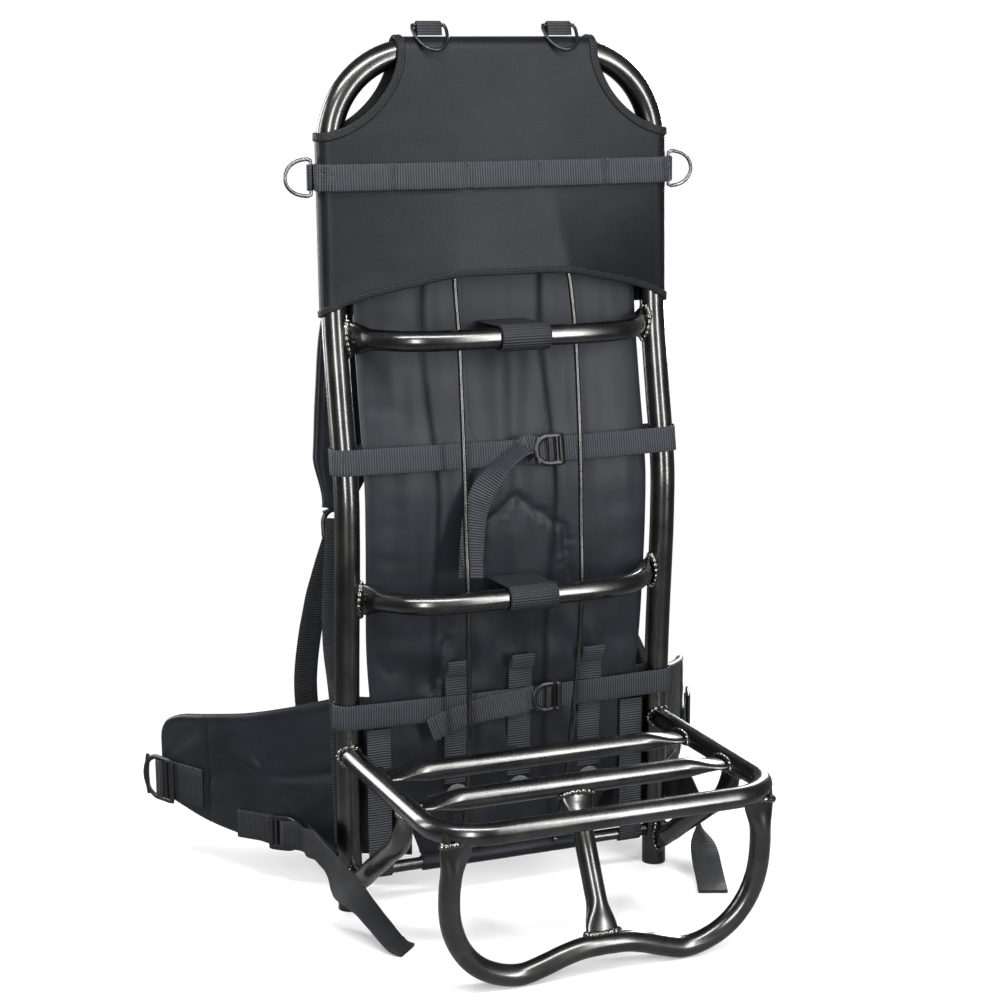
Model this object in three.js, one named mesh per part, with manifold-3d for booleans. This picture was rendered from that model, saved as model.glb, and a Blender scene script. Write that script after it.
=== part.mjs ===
import * as THREE from 'three';
import Module from 'manifold-3d';
import { mergeVertices } from 'three/addons/utils/BufferGeometryUtils.js';

// Load-carrying external pack frame with its shelf, stand, back pad, hip belt and shoulder straps.
// Millimetres, +Z up. The load side faces -Y, the wearer +Y. Lengths inside the tables are shares of
// the sizes named beside them.

const wasm = await Module();
wasm.setup();

// Welded tube frame
const FRAME_WIDTH = 360;          // over both uprights
const FRAME_HEIGHT = 849;         // floor to the top of the main tube
const MAIN_DIA = 24.6;
const CORNER_RADIUS = 87;         // centreline of the two top corners
const SPINE_SWEEP = 17.7;         // the top of the uprights lies this far behind their feet
const BAR_DIA = 20;               // crossbars, shelf, stand and braces
const CROSSBAR_UPPER_Z = 569;
const CROSSBAR_LOWER_Z = 318;
const CROSSBAR_UPPER_BOW = 62;
const CROSSBAR_LOWER_BOW = 58;
const LIP_WIDE = 32;              // a tube end pressed flat for its weld
const LIP_THIN = 8;
const LIP_LENGTH = 42;
const SIDE_LIP_WIDE = 30;         // the same at the stand and the braces
const SIDE_LIP_THIN = 10;
const ROD_DIA = 5;
const ROD_SPACING = 120;
const BOTTOM_BAR_DIA = 12;
const BOTTOM_BAR_Z = 36;
const SHELF_Z = 160;
const SHELF_DEPTH = 267;
const SHELF_CORNER = 50;
const SHELF_BAR_REAR = 80;        // distance of the shelf bars in front of the uprights
const SHELF_BAR_FRONT = 170;
const STAND_WIDTH = 312;
const STAND_LEAN = 19;            // the stand's foot lies this far behind its top
const STAND_DIP = 17;             // rise of the loop in its middle
const BRACE_FOOT_Z = 32;

// Sewn parts
const FABRIC = 1.6;
const PANEL_HEM_Z = 590;          // lower edge of the fabric panel at the uprights
const PANEL_ARCH = 37;            // rise of that edge in the middle
const PANEL_SHOULDER_Z = 761;     // where the panel leaves the uprights
const PANEL_TOP_HALF = 101.5;     // half the width that wraps the top of the frame
const WEBBING_WIDTH = 25;
const WEBBING = 1.6;
const HIP_WEBBING_WIDTH = 30;
const PANEL_WEBBING_Z = 721;
const BAND_UPPER_Z = 454;
const BAND_LOWER_Z = 200.5;
const RING_WIDTH = 38;
const RING_WIRE = 3.6;
const PAD_THICKNESS = 13;
const PAD_SIDE_GAP = 7.4;         // between the pad's edges and the uprights
const PAD_TOP_Z = 650;
const LUMBAR_THICKNESS = 17;
const LUMBAR_WIDTH = 190;
const BELT_THICKNESS = 10;
const BELT_REACH = 212;           // how far the belt's tips lie behind the uprights
const BELT_SPREAD = 606;          // over both belt tips
const BELT_Z = 122;               // middle height of the belt at its root
const BELT_HEIGHT = 164;
const SHOULDER_WIDTH = 62;
const SHOULDER_THICKNESS = 9;
const SHOULDER_ARC = 112;         // how far the shoulder pads stand out behind the frame
const SHOULDER_TOP_Z = 630;
const BAND_TAIL_UPPER = 118;      // loose lengths of the two bands
const BAND_TAIL_LOWER = 112;
const BAND_BUCKLE_X = 38;
const PAD_LOOP = 11;              // how far the loops in front of the pad stand out
const PAD_LOOP_DROP = 34;
const PAD_STRAP_FOOT_Z = 118;
const HIP_TAIL_REACH = 128;       // how far the hip webbing's loose ends lie in front of the uprights
const HIP_WEB_Z = 60;
const HIP_ANCHOR_Z = 48;
const BELT_BUCKLE_Z = 92;
const BELT_BUCKLE_WEBBING = 42;
const TOP_RING_SPACING = 134;
const TOP_RING_LEAN = 42;         // degrees
const BUCKLE_THICKNESS = 3.4;
const GAP = 0.3;                  // clearance between neighbouring pieces

const MAIN_SIDES = 12;
const BAR_SIDES = 10;
const ROD_SIDES = 6;
const mainRadius = MAIN_DIA / 2;
const barRadius = BAR_DIA / 2;
const rodRadius = ROD_DIA / 2;
const halfGauge = FRAME_WIDTH / 2 - mainRadius;
const padWidth = 2 * (halfGauge - mainRadius - PAD_SIDE_GAP);
const topBarZ = FRAME_HEIGHT - mainRadius;
const X = new THREE.Vector3(1, 0, 0);
const Y = new THREE.Vector3(0, 1, 0);
const Z = new THREE.Vector3(0, 0, 1);
const SIDES = [['left', -1], ['right', 1]];
const v3 = (x, y, z) => new THREE.Vector3(x, y, z);

// A smooth value read from rows of [key, value]
function follow(rows, key) {
  const last = rows.length - 1;
  if (key <= rows[0][0]) return rows[0][1];
  if (key >= rows[last][0]) return rows[last][1];
  const i = rows.findIndex((row) => row[0] > key) - 1;
  const slope = (k) => {
    const a = rows[Math.max(k - 1, 0)];
    const b = rows[Math.min(k + 1, last)];
    return (b[1] - a[1]) / (b[0] - a[0]);
  };
  const [x0, y0] = rows[i];
  const [x1, y1] = rows[i + 1];
  const h = x1 - x0;
  const t = (key - x0) / h;
  const rise = (y1 - y0) * t * t * (3 - 2 * t);
  return y0 + rise + h * t * (1 - t) * (slope(i) * (1 - t) - slope(i + 1) * t);
}

// One closed body from shared points and triangles, its faces turned outwards
function body(points, triangles) {
  let volume = 0;
  for (const [a, b, c] of triangles) {
    volume += points[a].dot(v3(0, 0, 0).crossVectors(points[b], points[c]));
  }
  const turned = volume < 0 ? triangles.map(([a, b, c]) => [a, c, b]) : triangles;
  const geometry = new THREE.BufferGeometry().setFromPoints(points);
  geometry.setIndex(turned.flat());
  return geometry.toNonIndexed();
}

// Tangents of a route, running on round a closed one
function tangents(route, closed) {
  const n = route.length;
  return route.map((point, i) => {
    const before = route[closed ? (i + n - 1) % n : Math.max(i - 1, 0)];
    const after = route[closed ? (i + 1) % n : Math.min(i + 1, n - 1)];
    return after.clone().sub(before).normalize();
  });
}

// A round bar along a route. `across` is a direction that no stretch runs along. `lips` flattens the
// ends: [half size along across, half size beside it, length].
function tube(route, diameter, across, { sides = BAR_SIDES, lips = null, closed = false } = {}) {
  const n = route.length;
  const run = tangents(route, closed);
  const along = [0];
  for (let i = 1; i < n; i++) along.push(along[i - 1] + route[i].distanceTo(route[i - 1]));
  const points = [];
  route.forEach((point, i) => {
    const u = across.clone().addScaledVector(run[i], -across.dot(run[i])).normalize();
    const w = v3(0, 0, 0).crossVectors(run[i], u);
    const toEnd = Math.min(along[i], along[n - 1] - along[i]);
    const k = lips ? THREE.MathUtils.smoothstep(toEnd, lips[2] * 0.3, lips[2]) : 1;
    const a = lips ? THREE.MathUtils.lerp(lips[0], diameter / 2, k) : diameter / 2;
    const b = lips ? THREE.MathUtils.lerp(lips[1], diameter / 2, k) : diameter / 2;
    for (let s = 0; s < sides; s++) {
      const turn = ((s + 0.5) / sides) * 2 * Math.PI;
      const onU = point.clone().addScaledVector(u, a * Math.cos(turn));
      points.push(onU.addScaledVector(w, b * Math.sin(turn)));
    }
  });
  const triangles = [];
  const rings = closed ? n : n - 1;
  for (let i = 0; i < rings; i++) {
    const j = (i + 1) % n;
    for (let s = 0; s < sides; s++) {
      const r = (s + 1) % sides;
      const quad = [i * sides + s, i * sides + r, j * sides + r, j * sides + s];
      triangles.push([quad[0], quad[1], quad[2]], [quad[0], quad[2], quad[3]]);
    }
  }
  if (!closed) {
    for (let s = 1; s < sides - 1; s++) {
      triangles.push([0, s + 1, s], [(n - 1) * sides, (n - 1) * sides + s, (n - 1) * sides + s + 1]);
    }
  }
  return body(points, triangles);
}

// Corners of a polyline replaced by arcs
function rounded(corners, radius, steps = 6) {
  const route = [corners[0].clone()];
  for (let i = 1; i < corners.length - 1; i++) {
    const into = corners[i].clone().sub(corners[i - 1]).normalize();
    const out = corners[i + 1].clone().sub(corners[i]).normalize();
    const half = into.angleTo(out) / 2;
    const cut = radius * Math.tan(half);
    const start = corners[i].clone().addScaledVector(into, -cut);
    const middle = out.clone().sub(into).normalize();
    const centre = corners[i].clone().addScaledVector(middle, radius / Math.cos(half));
    const axis = v3(0, 0, 0).crossVectors(into, out).normalize();
    for (let s = 0; s <= steps; s++) {
      const arm = start.clone().sub(centre).applyAxisAngle(axis, (2 * half * s) / steps);
      route.push(centre.clone().add(arm));
    }
  }
  route.push(corners[corners.length - 1].clone());
  return route;
}

// Evenly spaced points of a smooth curve through a few chosen ones
function smooth(points, steps) {
  return new THREE.CatmullRomCurve3(points, false, 'centripetal').getSpacedPoints(steps);
}

const mirrored = (route, side) => route.map((p) => v3(p.x * side, p.y, p.z));

function toSolid(geometry) {
  const plain = geometry.clone();
  plain.deleteAttribute('normal');
  plain.deleteAttribute('uv');
  const merged = mergeVertices(plain, 1e-4);
  return new wasm.Manifold(new wasm.Mesh({
    numProp: 3,
    vertProperties: new Float32Array(merged.attributes.position.array),
    triVerts: new Uint32Array(merged.index.array),
  }));
}

// A tube end fitted round the pieces that it is welded to, each of them grown by the gap
function cope(piece, ...neighbours) {
  let solid = toSolid(piece);
  for (const neighbour of neighbours) solid = solid.subtract(toSolid(neighbour));
  const largest = solid.decompose().sort((a, b) => b.volume() - a.volume())[0];
  const mesh = largest.getMesh();
  const geometry = new THREE.BufferGeometry();
  geometry.setAttribute('position', new THREE.BufferAttribute(mesh.vertProperties, 3));
  geometry.setIndex(new THREE.BufferAttribute(mesh.triVerts, 1));
  return geometry.toNonIndexed();
}

// A sheet is a set of points and quads; sheets laid edge to edge share their points
function grid(us, vs, at) {
  const points = [];
  const quads = [];
  us.forEach((u) => vs.forEach((v) => points.push(at(u, v))));
  const m = vs.length;
  for (let i = 0; i < us.length - 1; i++) {
    for (let j = 0; j < m - 1; j++) {
      quads.push([i * m + j, (i + 1) * m + j, (i + 1) * m + j + 1, i * m + j + 1]);
    }
  }
  return { points, quads };
}

// Sheets joined and given a wall; `wall` is a thickness or a thickness for each point
function thicken(sheets, wall) {
  const points = [];
  const walls = [];
  const known = new Map();
  const quads = [];
  for (const sheet of sheets) {
    const index = sheet.points.map((p, i) => {
      const key = [p.x, p.y, p.z].map((c) => Math.round(c * 200)).join(' ');
      if (!known.has(key)) {
        known.set(key, points.length);
        points.push(p);
        walls.push(sheet.walls ? sheet.walls[i] : wall);
      }
      return known.get(key);
    });
    sheet.quads.forEach((quad) => quads.push(quad.map((i) => index[i])));
  }
  const normals = points.map(() => v3(0, 0, 0));
  for (const quad of quads) {
    const [a, b, c, d] = quad.map((i) => points[i]);
    const normal = v3(0, 0, 0).crossVectors(c.clone().sub(a), d.clone().sub(b));
    quad.forEach((i) => normals[i].add(normal));
  }
  const n = points.length;
  const shifted = (sign) => points.map((p, i) => {
    return p.clone().addScaledVector(normals[i].clone().normalize(), (sign * walls[i]) / 2);
  });
  const triangles = [];
  const edges = new Map();
  for (const [a, b, c, d] of quads) {
    for (const corner of [[a, b, c], [a, c, d]]) {
      if (new Set(corner).size < 3) continue;
      triangles.push(corner, [n + corner[0], n + corner[2], n + corner[1]]);
      for (const [p, q] of [[0, 1], [1, 2], [2, 0]]) {
        edges.set(`${corner[p]} ${corner[q]}`, [corner[p], corner[q]]);
      }
    }
  }
  for (const [p, q] of edges.values()) {
    if (!edges.has(`${q} ${p}`)) triangles.push([q, p, n + p], [q, n + p, n + q]);
  }
  return body([...shifted(1), ...shifted(-1)], triangles);
}

// A flat strap of webbing along a route, its width along `across`
function strap(route, across, width = WEBBING_WIDTH) {
  const sheet = grid([...route.keys()], [-width / 2, width / 2], (i, v) => {
    return route[i].clone().addScaledVector(Array.isArray(across) ? across[i] : across, v);
  });
  return thicken([sheet], WEBBING);
}

// Steps of a half turn round a tube, and the radius that keeps a sheet's chords clear of it
const WRAP_STEPS = 8;
const clearOf = (radius, wall) => (radius + GAP) / Math.cos(Math.PI / WRAP_STEPS / 2) + wall / 2;

function spaced(from, to, steps) {
  return Array.from({ length: steps + 1 }, (_, i) => from + ((to - from) * i) / steps);
}

// Frame: the curve of the uprights, seen from the side
const SPINE = [ // share of the height, share of the sweep
  [0, 0], [0.177, 0], [0.235, -0.1], [0.294, -0.24], [0.34, -0.4], [0.389, -0.6],
  [0.42, -0.71], [0.448, -0.77], [0.495, -0.79], [0.54, -0.5], [0.589, -0.05], [0.63, 0.3],
  [0.67, 0.62], [0.707, 0.8], [0.754, 0.84], [0.85, 0.93], [0.989, 1], [1, 1],
];
const spine = (z) => follow(SPINE, z / FRAME_HEIGHT) * SPINE_SWEEP;

function mainRoute() {
  const bend = topBarZ - CORNER_RADIUS;
  const levels = SPINE.map((row) => row[0] * FRAME_HEIGHT).filter((z) => z < bend - 20);
  const upright = [...levels, bend].map((z) => v3(halfGauge, spine(z), z));
  const corner = spaced(0, Math.PI / 2, 7).slice(1).map((turn) => {
    const z = bend + CORNER_RADIUS * Math.sin(turn);
    return v3(halfGauge - CORNER_RADIUS * (1 - Math.cos(turn)), spine(z), z);
  });
  const half = [...upright, ...corner];
  return [...mirrored(half, -1), ...half.reverse()];
}

const mainTube = (grown = 0) => tube(mainRoute(), MAIN_DIA + 2 * grown, Y, { sides: MAIN_SIDES });

// A crossbar runs from upright to upright and bows towards the load
const BOW = [ // share of the half gauge, share of the bow
  [1, 0], [0.9, 0.1], [0.8, 0.45], [0.7, 0.76], [0.6, 0.91], [0.5, 0.97], [0.36, 1], [0, 1],
];
function crossbarY(z, bow, x) {
  const share = follow([...BOW].reverse(), Math.abs(x) / halfGauge);
  return spine(z) - bow * share;
}

function crossbar(z, bow) {
  const stations = BOW.map((row) => row[0] * halfGauge);
  const half = stations.map((x) => v3(x, crossbarY(z, bow, x), z));
  const route = [...mirrored(half.slice(0, -1), -1), ...half.reverse()];
  const blank = tube(route, BAR_DIA, Z, { lips: [LIP_WIDE / 2, LIP_THIN / 2, LIP_LENGTH] });
  return cope(blank, mainTube(GAP));
}

// The two bowed rods lie behind the crossbars and end on the top tube and the bottom bar
const sleeveRadius = BOTTOM_BAR_DIA / 2 + GAP + FABRIC;
const rodBehind = barRadius + rodRadius + GAP;
const rodAtUpper = crossbarY(CROSSBAR_UPPER_Z, CROSSBAR_UPPER_BOW, ROD_SPACING / 2) + rodBehind;
const rodAtLower = crossbarY(CROSSBAR_LOWER_Z, CROSSBAR_LOWER_BOW, ROD_SPACING / 2) + rodBehind;
const rodFoot = (sleeveRadius + rodRadius + GAP + 0.2) * Math.SQRT1_2;
const rodHead = (mainRadius + rodRadius + GAP) * Math.SQRT1_2;
const ROD_LINE = [ // height, depth
  [BOTTOM_BAR_Z + rodFoot, -rodFoot],
  [0.1 * FRAME_HEIGHT, 0.4 * rodAtLower],
  [0.155 * FRAME_HEIGHT, 0.63 * rodAtLower],
  [0.26 * FRAME_HEIGHT, 0.87 * rodAtLower],
  [CROSSBAR_LOWER_Z, rodAtLower],
  [0.45 * FRAME_HEIGHT, 1.35 * rodAtUpper],
  [0.525 * FRAME_HEIGHT, 1.3 * rodAtUpper],
  [0.6 * FRAME_HEIGHT, 1.17 * rodAtUpper],
  [CROSSBAR_UPPER_Z, rodAtUpper],
  [0.733 * FRAME_HEIGHT, 0.68 * rodAtUpper],
  [0.785 * FRAME_HEIGHT, 0.38 * rodAtUpper],
  [0.835 * FRAME_HEIGHT, 0.12 * rodAtUpper],
  [0.885 * FRAME_HEIGHT, -0.03 * rodAtUpper],
  [topBarZ - rodHead, spine(topBarZ) - rodHead],
].sort((a, b) => a[0] - b[0]);
const ROD_SPREAD = [ // share of the height, share of half the spacing
  [0.05, 0.86], [0.2, 0.92], [0.37, 1], [0.72, 1], [0.76, 0.94], [0.82, 0.83], [0.88, 0.74], [1, 0.66],
];
const rodY = (z) => follow(ROD_LINE, z);
const rodX = (z) => (follow(ROD_SPREAD, z / FRAME_HEIGHT) * ROD_SPACING) / 2;

function rod(side, grown = 0) {
  const route = ROD_LINE.map(([z, y]) => v3(rodX(z) * side, y, z));
  return tube(route, ROD_DIA + 2 * grown, X, { sides: ROD_SIDES });
}

function bottomBar() {
  const route = [v3(-halfGauge, 0, BOTTOM_BAR_Z), v3(halfGauge, 0, BOTTOM_BAR_Z)];
  return cope(tube(route, BOTTOM_BAR_DIA, Z, { sides: 8 }), mainTube(GAP));
}

// Shelf: a U-shaped rail with two bars let in between its sides
function railRoute() {
  const corners = [
    v3(-halfGauge, 0, SHELF_Z),
    v3(-halfGauge, -SHELF_DEPTH, SHELF_Z),
    v3(halfGauge, -SHELF_DEPTH, SHELF_Z),
    v3(halfGauge, 0, SHELF_Z),
  ];
  return rounded(corners, SHELF_CORNER, 6);
}
const railBlank = (grown = 0) => tube(railRoute(), BAR_DIA + 2 * grown, Z);
const shelfRail = () => cope(railBlank(), mainTube(GAP));

function shelfBar(forward) {
  const ends = [-1, -0.93, -0.86, -0.78, -0.66, 0.66, 0.78, 0.86, 0.93, 1];
  const route = ends.map((share) => v3(share * halfGauge, -forward, SHELF_Z));
  const blank = tube(route, BAR_DIA, Z, { lips: [LIP_THIN / 2, LIP_WIDE / 2, LIP_LENGTH * 1.3] });
  return cope(blank, railBlank(GAP));
}

// Stand: a loop below the front rail, two feet with a rise between them, and a strut from the shelf
const STAND = [ // share of half the width, share of the height under the shelf, from weld to middle
  [0.955, 1], [0.965, 0.93], [0.985, 0.8], [1, 0.6], [0.985, 0.42], [0.925, 0.25], [0.82, 0.115],
  [0.68, 0.03], [0.53, 0], [0.4, 0.03], [0.27, 0.075], [0.15, 0.105],
];
const standTopX = (STAND[0][0] * STAND_WIDTH) / 2;
const standTopY = -SHELF_DEPTH + SHELF_CORNER
  - Math.sqrt(Math.max(SHELF_CORNER ** 2 - Math.max(standTopX - halfGauge + SHELF_CORNER, 0) ** 2, 0));
const standZ = (share) => barRadius + share * (SHELF_Z - barRadius);
const standY = (z) => standTopY + (STAND_LEAN * (SHELF_Z - z)) / SHELF_Z;

function standRoute() {
  const half = STAND.map(([x, h]) => v3((x * STAND_WIDTH) / 2, standY(standZ(h)), standZ(h)));
  const dip = barRadius + STAND_DIP;
  const curve = smooth([...half, v3(0, standY(dip), dip)], 15);
  return [...mirrored(curve.slice(0, -1), -1), ...curve.reverse()];
}
const standBlank = (grown = 0) => {
  const lips = [SIDE_LIP_THIN / 2 + grown, SIDE_LIP_WIDE / 2 + grown, LIP_LENGTH];
  return tube(standRoute(), BAR_DIA + 2 * grown, Y, { lips });
};
const standLoop = () => cope(standBlank(), railBlank(GAP));

function standStrut() {
  const top = v3(0, -SHELF_BAR_FRONT, SHELF_Z);
  const foot = v3(0, standY(barRadius + STAND_DIP), barRadius + STAND_DIP);
  const route = spaced(0, 1, 10).map((t) => top.clone().lerp(foot, t));
  const blank = tube(route, BAR_DIA, X, { lips: [LIP_WIDE / 2, LIP_THIN / 2, LIP_LENGTH] });
  const bar = tube([-3, 3].map((k) => v3(k * BAR_DIA, 0, 0).add(top)), BAR_DIA + 2 * GAP, Z);
  return cope(blank, bar, standBlank(GAP));
}

const BRACE = [ // share of the distance in front of the upright, share of the height to the shelf
  [1, 1], [0.975, 0.84], [0.9, 0.69], [0.69, 0.5], [0.4, 0.25], [0.2, 0.08], [0, 0],
];
const braceReach = SHELF_BAR_FRONT;
function brace(side) {
  const rise = SHELF_Z - BRACE_FOOT_Z;
  const points = BRACE.map(([y, h]) => v3(side * halfGauge, -y * braceReach, BRACE_FOOT_Z + h * rise));
  const route = smooth(points, 12);
  const blank = tube(route, BAR_DIA, X, { lips: [SIDE_LIP_THIN / 2, LIP_WIDE / 2, LIP_LENGTH] });
  return cope(blank, mainTube(GAP), railBlank(GAP));
}

// Fabric panel: a sleeve over the top of the frame, cut away round the two upper corners
const wrapRadius = clearOf(mainRadius, FABRIC);
const HEM = [ // share of the half gauge, share of the arch
  [0, 1], [0.35, 0.98], [0.58, 0.77], [0.76, 0.6], [0.96, 0.32], [1.05, 0.12], [1.3, 0],
];
const scoopPower = 1.75;
function scoopZ(x) {
  const share = THREE.MathUtils.clamp((x - PANEL_TOP_HALF) / (FRAME_WIDTH / 2 - PANEL_TOP_HALF), 0, 1);
  const fall = 1 - (1 - (1 - share) ** scoopPower) ** (1 / scoopPower);
  return PANEL_SHOULDER_Z + fall * (topBarZ - PANEL_SHOULDER_Z);
}

// Depth of the panel's front ply: it lies on the uprights and is pushed out by the rods
function panelY(x, z) {
  const crease = rodX(z);
  const atRod = Math.min(rodY(z) - rodRadius - 2 * GAP - FABRIC / 2, spine(topBarZ) - wrapRadius);
  const atTube = spine(z) - wrapRadius;
  const away = Math.max(Math.abs(x) - crease, 0) / (halfGauge - crease);
  return atRod + (atTube - atRod) * Math.min(away, 1);
}

function topPanel() {
  const rows = spaced(0, 1, 5);
  const level = (low, high, v) => low + (high - low) * v;
  const hem = (x) => PANEL_HEM_Z + follow(HEM, Math.abs(x) / halfGauge) * PANEL_ARCH;
  const inner = [0, 0.25, 0.5, 0.8, 1];
  const onCrease = (x, z) => (x === inner[2] * PANEL_TOP_HALF ? rodX(z) : x);
  const outer = [0.06, 0.16, 0.3, 0.5, 0.75, 1];
  const columns = [
    ...inner.map((s) => s * PANEL_TOP_HALF),
    ...outer.map((s) => PANEL_TOP_HALF + s * (halfGauge - PANEL_TOP_HALF)),
  ];
  const sheets = [];
  const top = spine(topBarZ);
  for (const [, side] of SIDES) {
    sheets.push(grid(columns, rows, (x, v) => {
      const z = level(hem(x), x <= PANEL_TOP_HALF ? topBarZ : scoopZ(x), v);
      return v3(side * onCrease(x, z), panelY(onCrease(x, z), z), z);
    }));
    sheets.push(grid(columns, rows, (x, v) => {
      const z = level(PANEL_HEM_Z, x <= PANEL_TOP_HALF ? topBarZ : scoopZ(x), v);
      return v3(side * onCrease(x, z), spine(z) + wrapRadius, z);
    }));
    sheets.push(grid(spaced(0, Math.PI, WRAP_STEPS), rows, (turn, v) => {
      const x = halfGauge + wrapRadius * Math.sin(turn);
      const front = turn < Math.PI / 2;
      const low = front ? hem(halfGauge + (turn / Math.PI) * 2 * wrapRadius) : PANEL_HEM_Z;
      const z = level(low, scoopZ(halfGauge + wrapRadius * Math.sin(turn)), v);
      return v3(side * x, spine(z) - wrapRadius * Math.cos(turn), z);
    }));
    sheets.push(grid(inner.map((s) => s * PANEL_TOP_HALF), spaced(0, Math.PI, WRAP_STEPS), (x, turn) => {
      const y = top - wrapRadius * Math.cos(turn);
      return v3(side * onCrease(x, topBarZ), y, topBarZ + wrapRadius * Math.sin(turn));
    }));
  }
  sheets.forEach((sheet, i) => {
    const flip = (i % 4 === 1) !== (i >= 4);
    if (flip) sheet.quads.forEach((quad) => quad.reverse());
  });
  return thicken(sheets, FABRIC);
}

// Webbing across the panel, from side to side
function panelWebbing() {
  const z = PANEL_WEBBING_Z;
  const off = FABRIC / 2 + GAP * 5 + WEBBING / 2;
  const radius = wrapRadius + off;
  const wrap = spaced(0, 1, 4).map((t) => t * THREE.MathUtils.degToRad(78));
  const half = [
    ...[0, rodX(z)].map((x) => v3(x, panelY(0, z) - off, z)),
    ...wrap.map((turn) => v3(halfGauge + radius * Math.sin(turn), spine(z) - radius * Math.cos(turn), z)),
  ];
  const route = [...mirrored(half.slice(1).reverse(), -1), ...half];
  const across = route.map((p) => {
    const x = Math.min(Math.abs(p.x), halfGauge);
    return v3(0, (panelY(x, z + 8) - panelY(x, z - 8)) / 16, 1);
  });
  return strap(route, across);
}

// A D-shaped wire ring: a straight side through `centre` and a bow reaching `reach` towards `out`
function dRing(centre, bar, out, reach) {
  const half = RING_WIDTH / 2 - RING_WIRE / 2;
  const straight = [-0.8, 0, 0.8].map((s) => centre.clone().addScaledVector(bar, s * half));
  const bow = spaced(0, Math.PI, 10).map((turn) => {
    const onBar = centre.clone().addScaledVector(bar, half * Math.cos(turn));
    return onBar.addScaledVector(out, reach * Math.sin(turn) ** 0.8);
  });
  const across = v3(0, 0, 0).crossVectors(bar, out);
  return tube([...straight, ...bow.slice(0, -1)], RING_WIRE, across, { sides: 6, closed: true });
}

const ringRadius = RING_WIRE / 2 + GAP + 0.3 + WEBBING / 2;
const sideRingX = halfGauge + wrapRadius + FABRIC / 2 + GAP + ringRadius + WEBBING / 2;
const ringY = spine(PANEL_WEBBING_Z);
function sideRing(side) {
  return dRing(v3(side * sideRingX, ringY, PANEL_WEBBING_Z), Z, v3(side, 0, 0), RING_WIDTH * 0.66);
}

// The webbing loop that holds a side ring is sewn to the panel behind the upright
function sideLoop(side) {
  const skin = clearOf(wrapRadius + FABRIC / 2, WEBBING);
  const round = spaced(-0.5 * Math.PI, 0.62 * Math.PI, 7).map((turn) => {
    const x = sideRingX + ringRadius * Math.cos(turn);
    return v3(side * x, ringY + ringRadius * Math.sin(turn), PANEL_WEBBING_Z);
  });
  const back = [100, 125, 150].map((deg) => {
    const turn = THREE.MathUtils.degToRad(deg);
    return v3(side * (halfGauge + skin * Math.sin(turn)), ringY - skin * Math.cos(turn), PANEL_WEBBING_Z);
  });
  return strap([...round, ...back], Z);
}

// Rings on top of the panel, each in a standing webbing loop, their bows leaning on the front
const topRingZ = topBarZ + wrapRadius + FABRIC / 2 + ringRadius * 3;
const ringLean = THREE.MathUtils.degToRad(TOP_RING_LEAN);
function topRing(side) {
  const out = v3(0, -Math.sin(ringLean), -Math.cos(ringLean));
  return dRing(v3((side * TOP_RING_SPACING) / 2, spine(topBarZ), topRingZ), X, out, RING_WIDTH * 0.82);
}
function topLoop(side) {
  const foot = topBarZ + wrapRadius + FABRIC / 2 + GAP;
  const y = spine(topBarZ);
  const half = [v3(0, ringRadius, foot), ...spaced(0, Math.PI / 2, 4).map((turn) => {
    return v3(0, ringRadius * Math.cos(turn), topRingZ + ringRadius * Math.sin(turn));
  })];
  const route = [...half, ...half.slice(0, -1).reverse().map((p) => v3(0, -p.y, p.z))];
  return strap(route.map((p) => p.add(v3((side * TOP_RING_SPACING) / 2, y, 0))), X);
}

// Back pad: between the uprights, behind the rods, with thin sewn edges
const PAD_HALF = [ // share of the height, share of half the width
  [0, 0.62], [0.05, 0.7], [0.12, 0.88], [0.25, 0.96], [0.4, 1], [1, 1],
];
const padFoot = BOTTOM_BAR_Z + sleeveRadius + GAP;
const padMiddle = 1;
function pillow(u, v) {
  return (1 - Math.abs(u) ** 4) ** 0.5 * (1 - Math.abs(v) ** 6) ** 0.5;
}
function backPad() {
  const us = [-1, -0.93, -0.7, -0.35, 0, 0.35, 0.7, 0.93, 1];
  const vs = [-1, -0.95, -0.8, -0.6, -0.4, -0.2, 0, 0.2, 0.4, 0.6, 0.8, 0.95, 1];
  const walls = [];
  const sheet = grid(us, vs, (u, v) => {
    const share = (v + 1) / 2;
    const z = padFoot + share * (PAD_TOP_Z - padFoot);
    walls.push(FABRIC * 1.5 + (PAD_THICKNESS - FABRIC * 1.5) * pillow(u, v));
    return v3((u * follow(PAD_HALF, share) * padWidth) / 2, spine(z) + padMiddle, z);
  });
  return thicken([{ ...sheet, walls }], FABRIC);
}
const padBack = (z) => spine(z) + padMiddle + PAD_THICKNESS / 2;
const padFront = (z) => spine(z) + padMiddle - PAD_THICKNESS / 2;

// Fabric tunnel that holds the foot of the pad on the bottom bar
function bottomSleeve() {
  const inner = BOTTOM_BAR_DIA / 2 + GAP;
  const half = LUMBAR_WIDTH / 2 - 3;
  const profile = [
    new THREE.Vector2(inner, -half), new THREE.Vector2(sleeveRadius, -half),
    new THREE.Vector2(sleeveRadius, half), new THREE.Vector2(inner, half),
    new THREE.Vector2(inner, -half),
  ];
  const geometry = new THREE.LatheGeometry(profile, 12);
  geometry.rotateZ(Math.PI / 2);
  return geometry.translate(0, 0, BOTTOM_BAR_Z);
}

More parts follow.
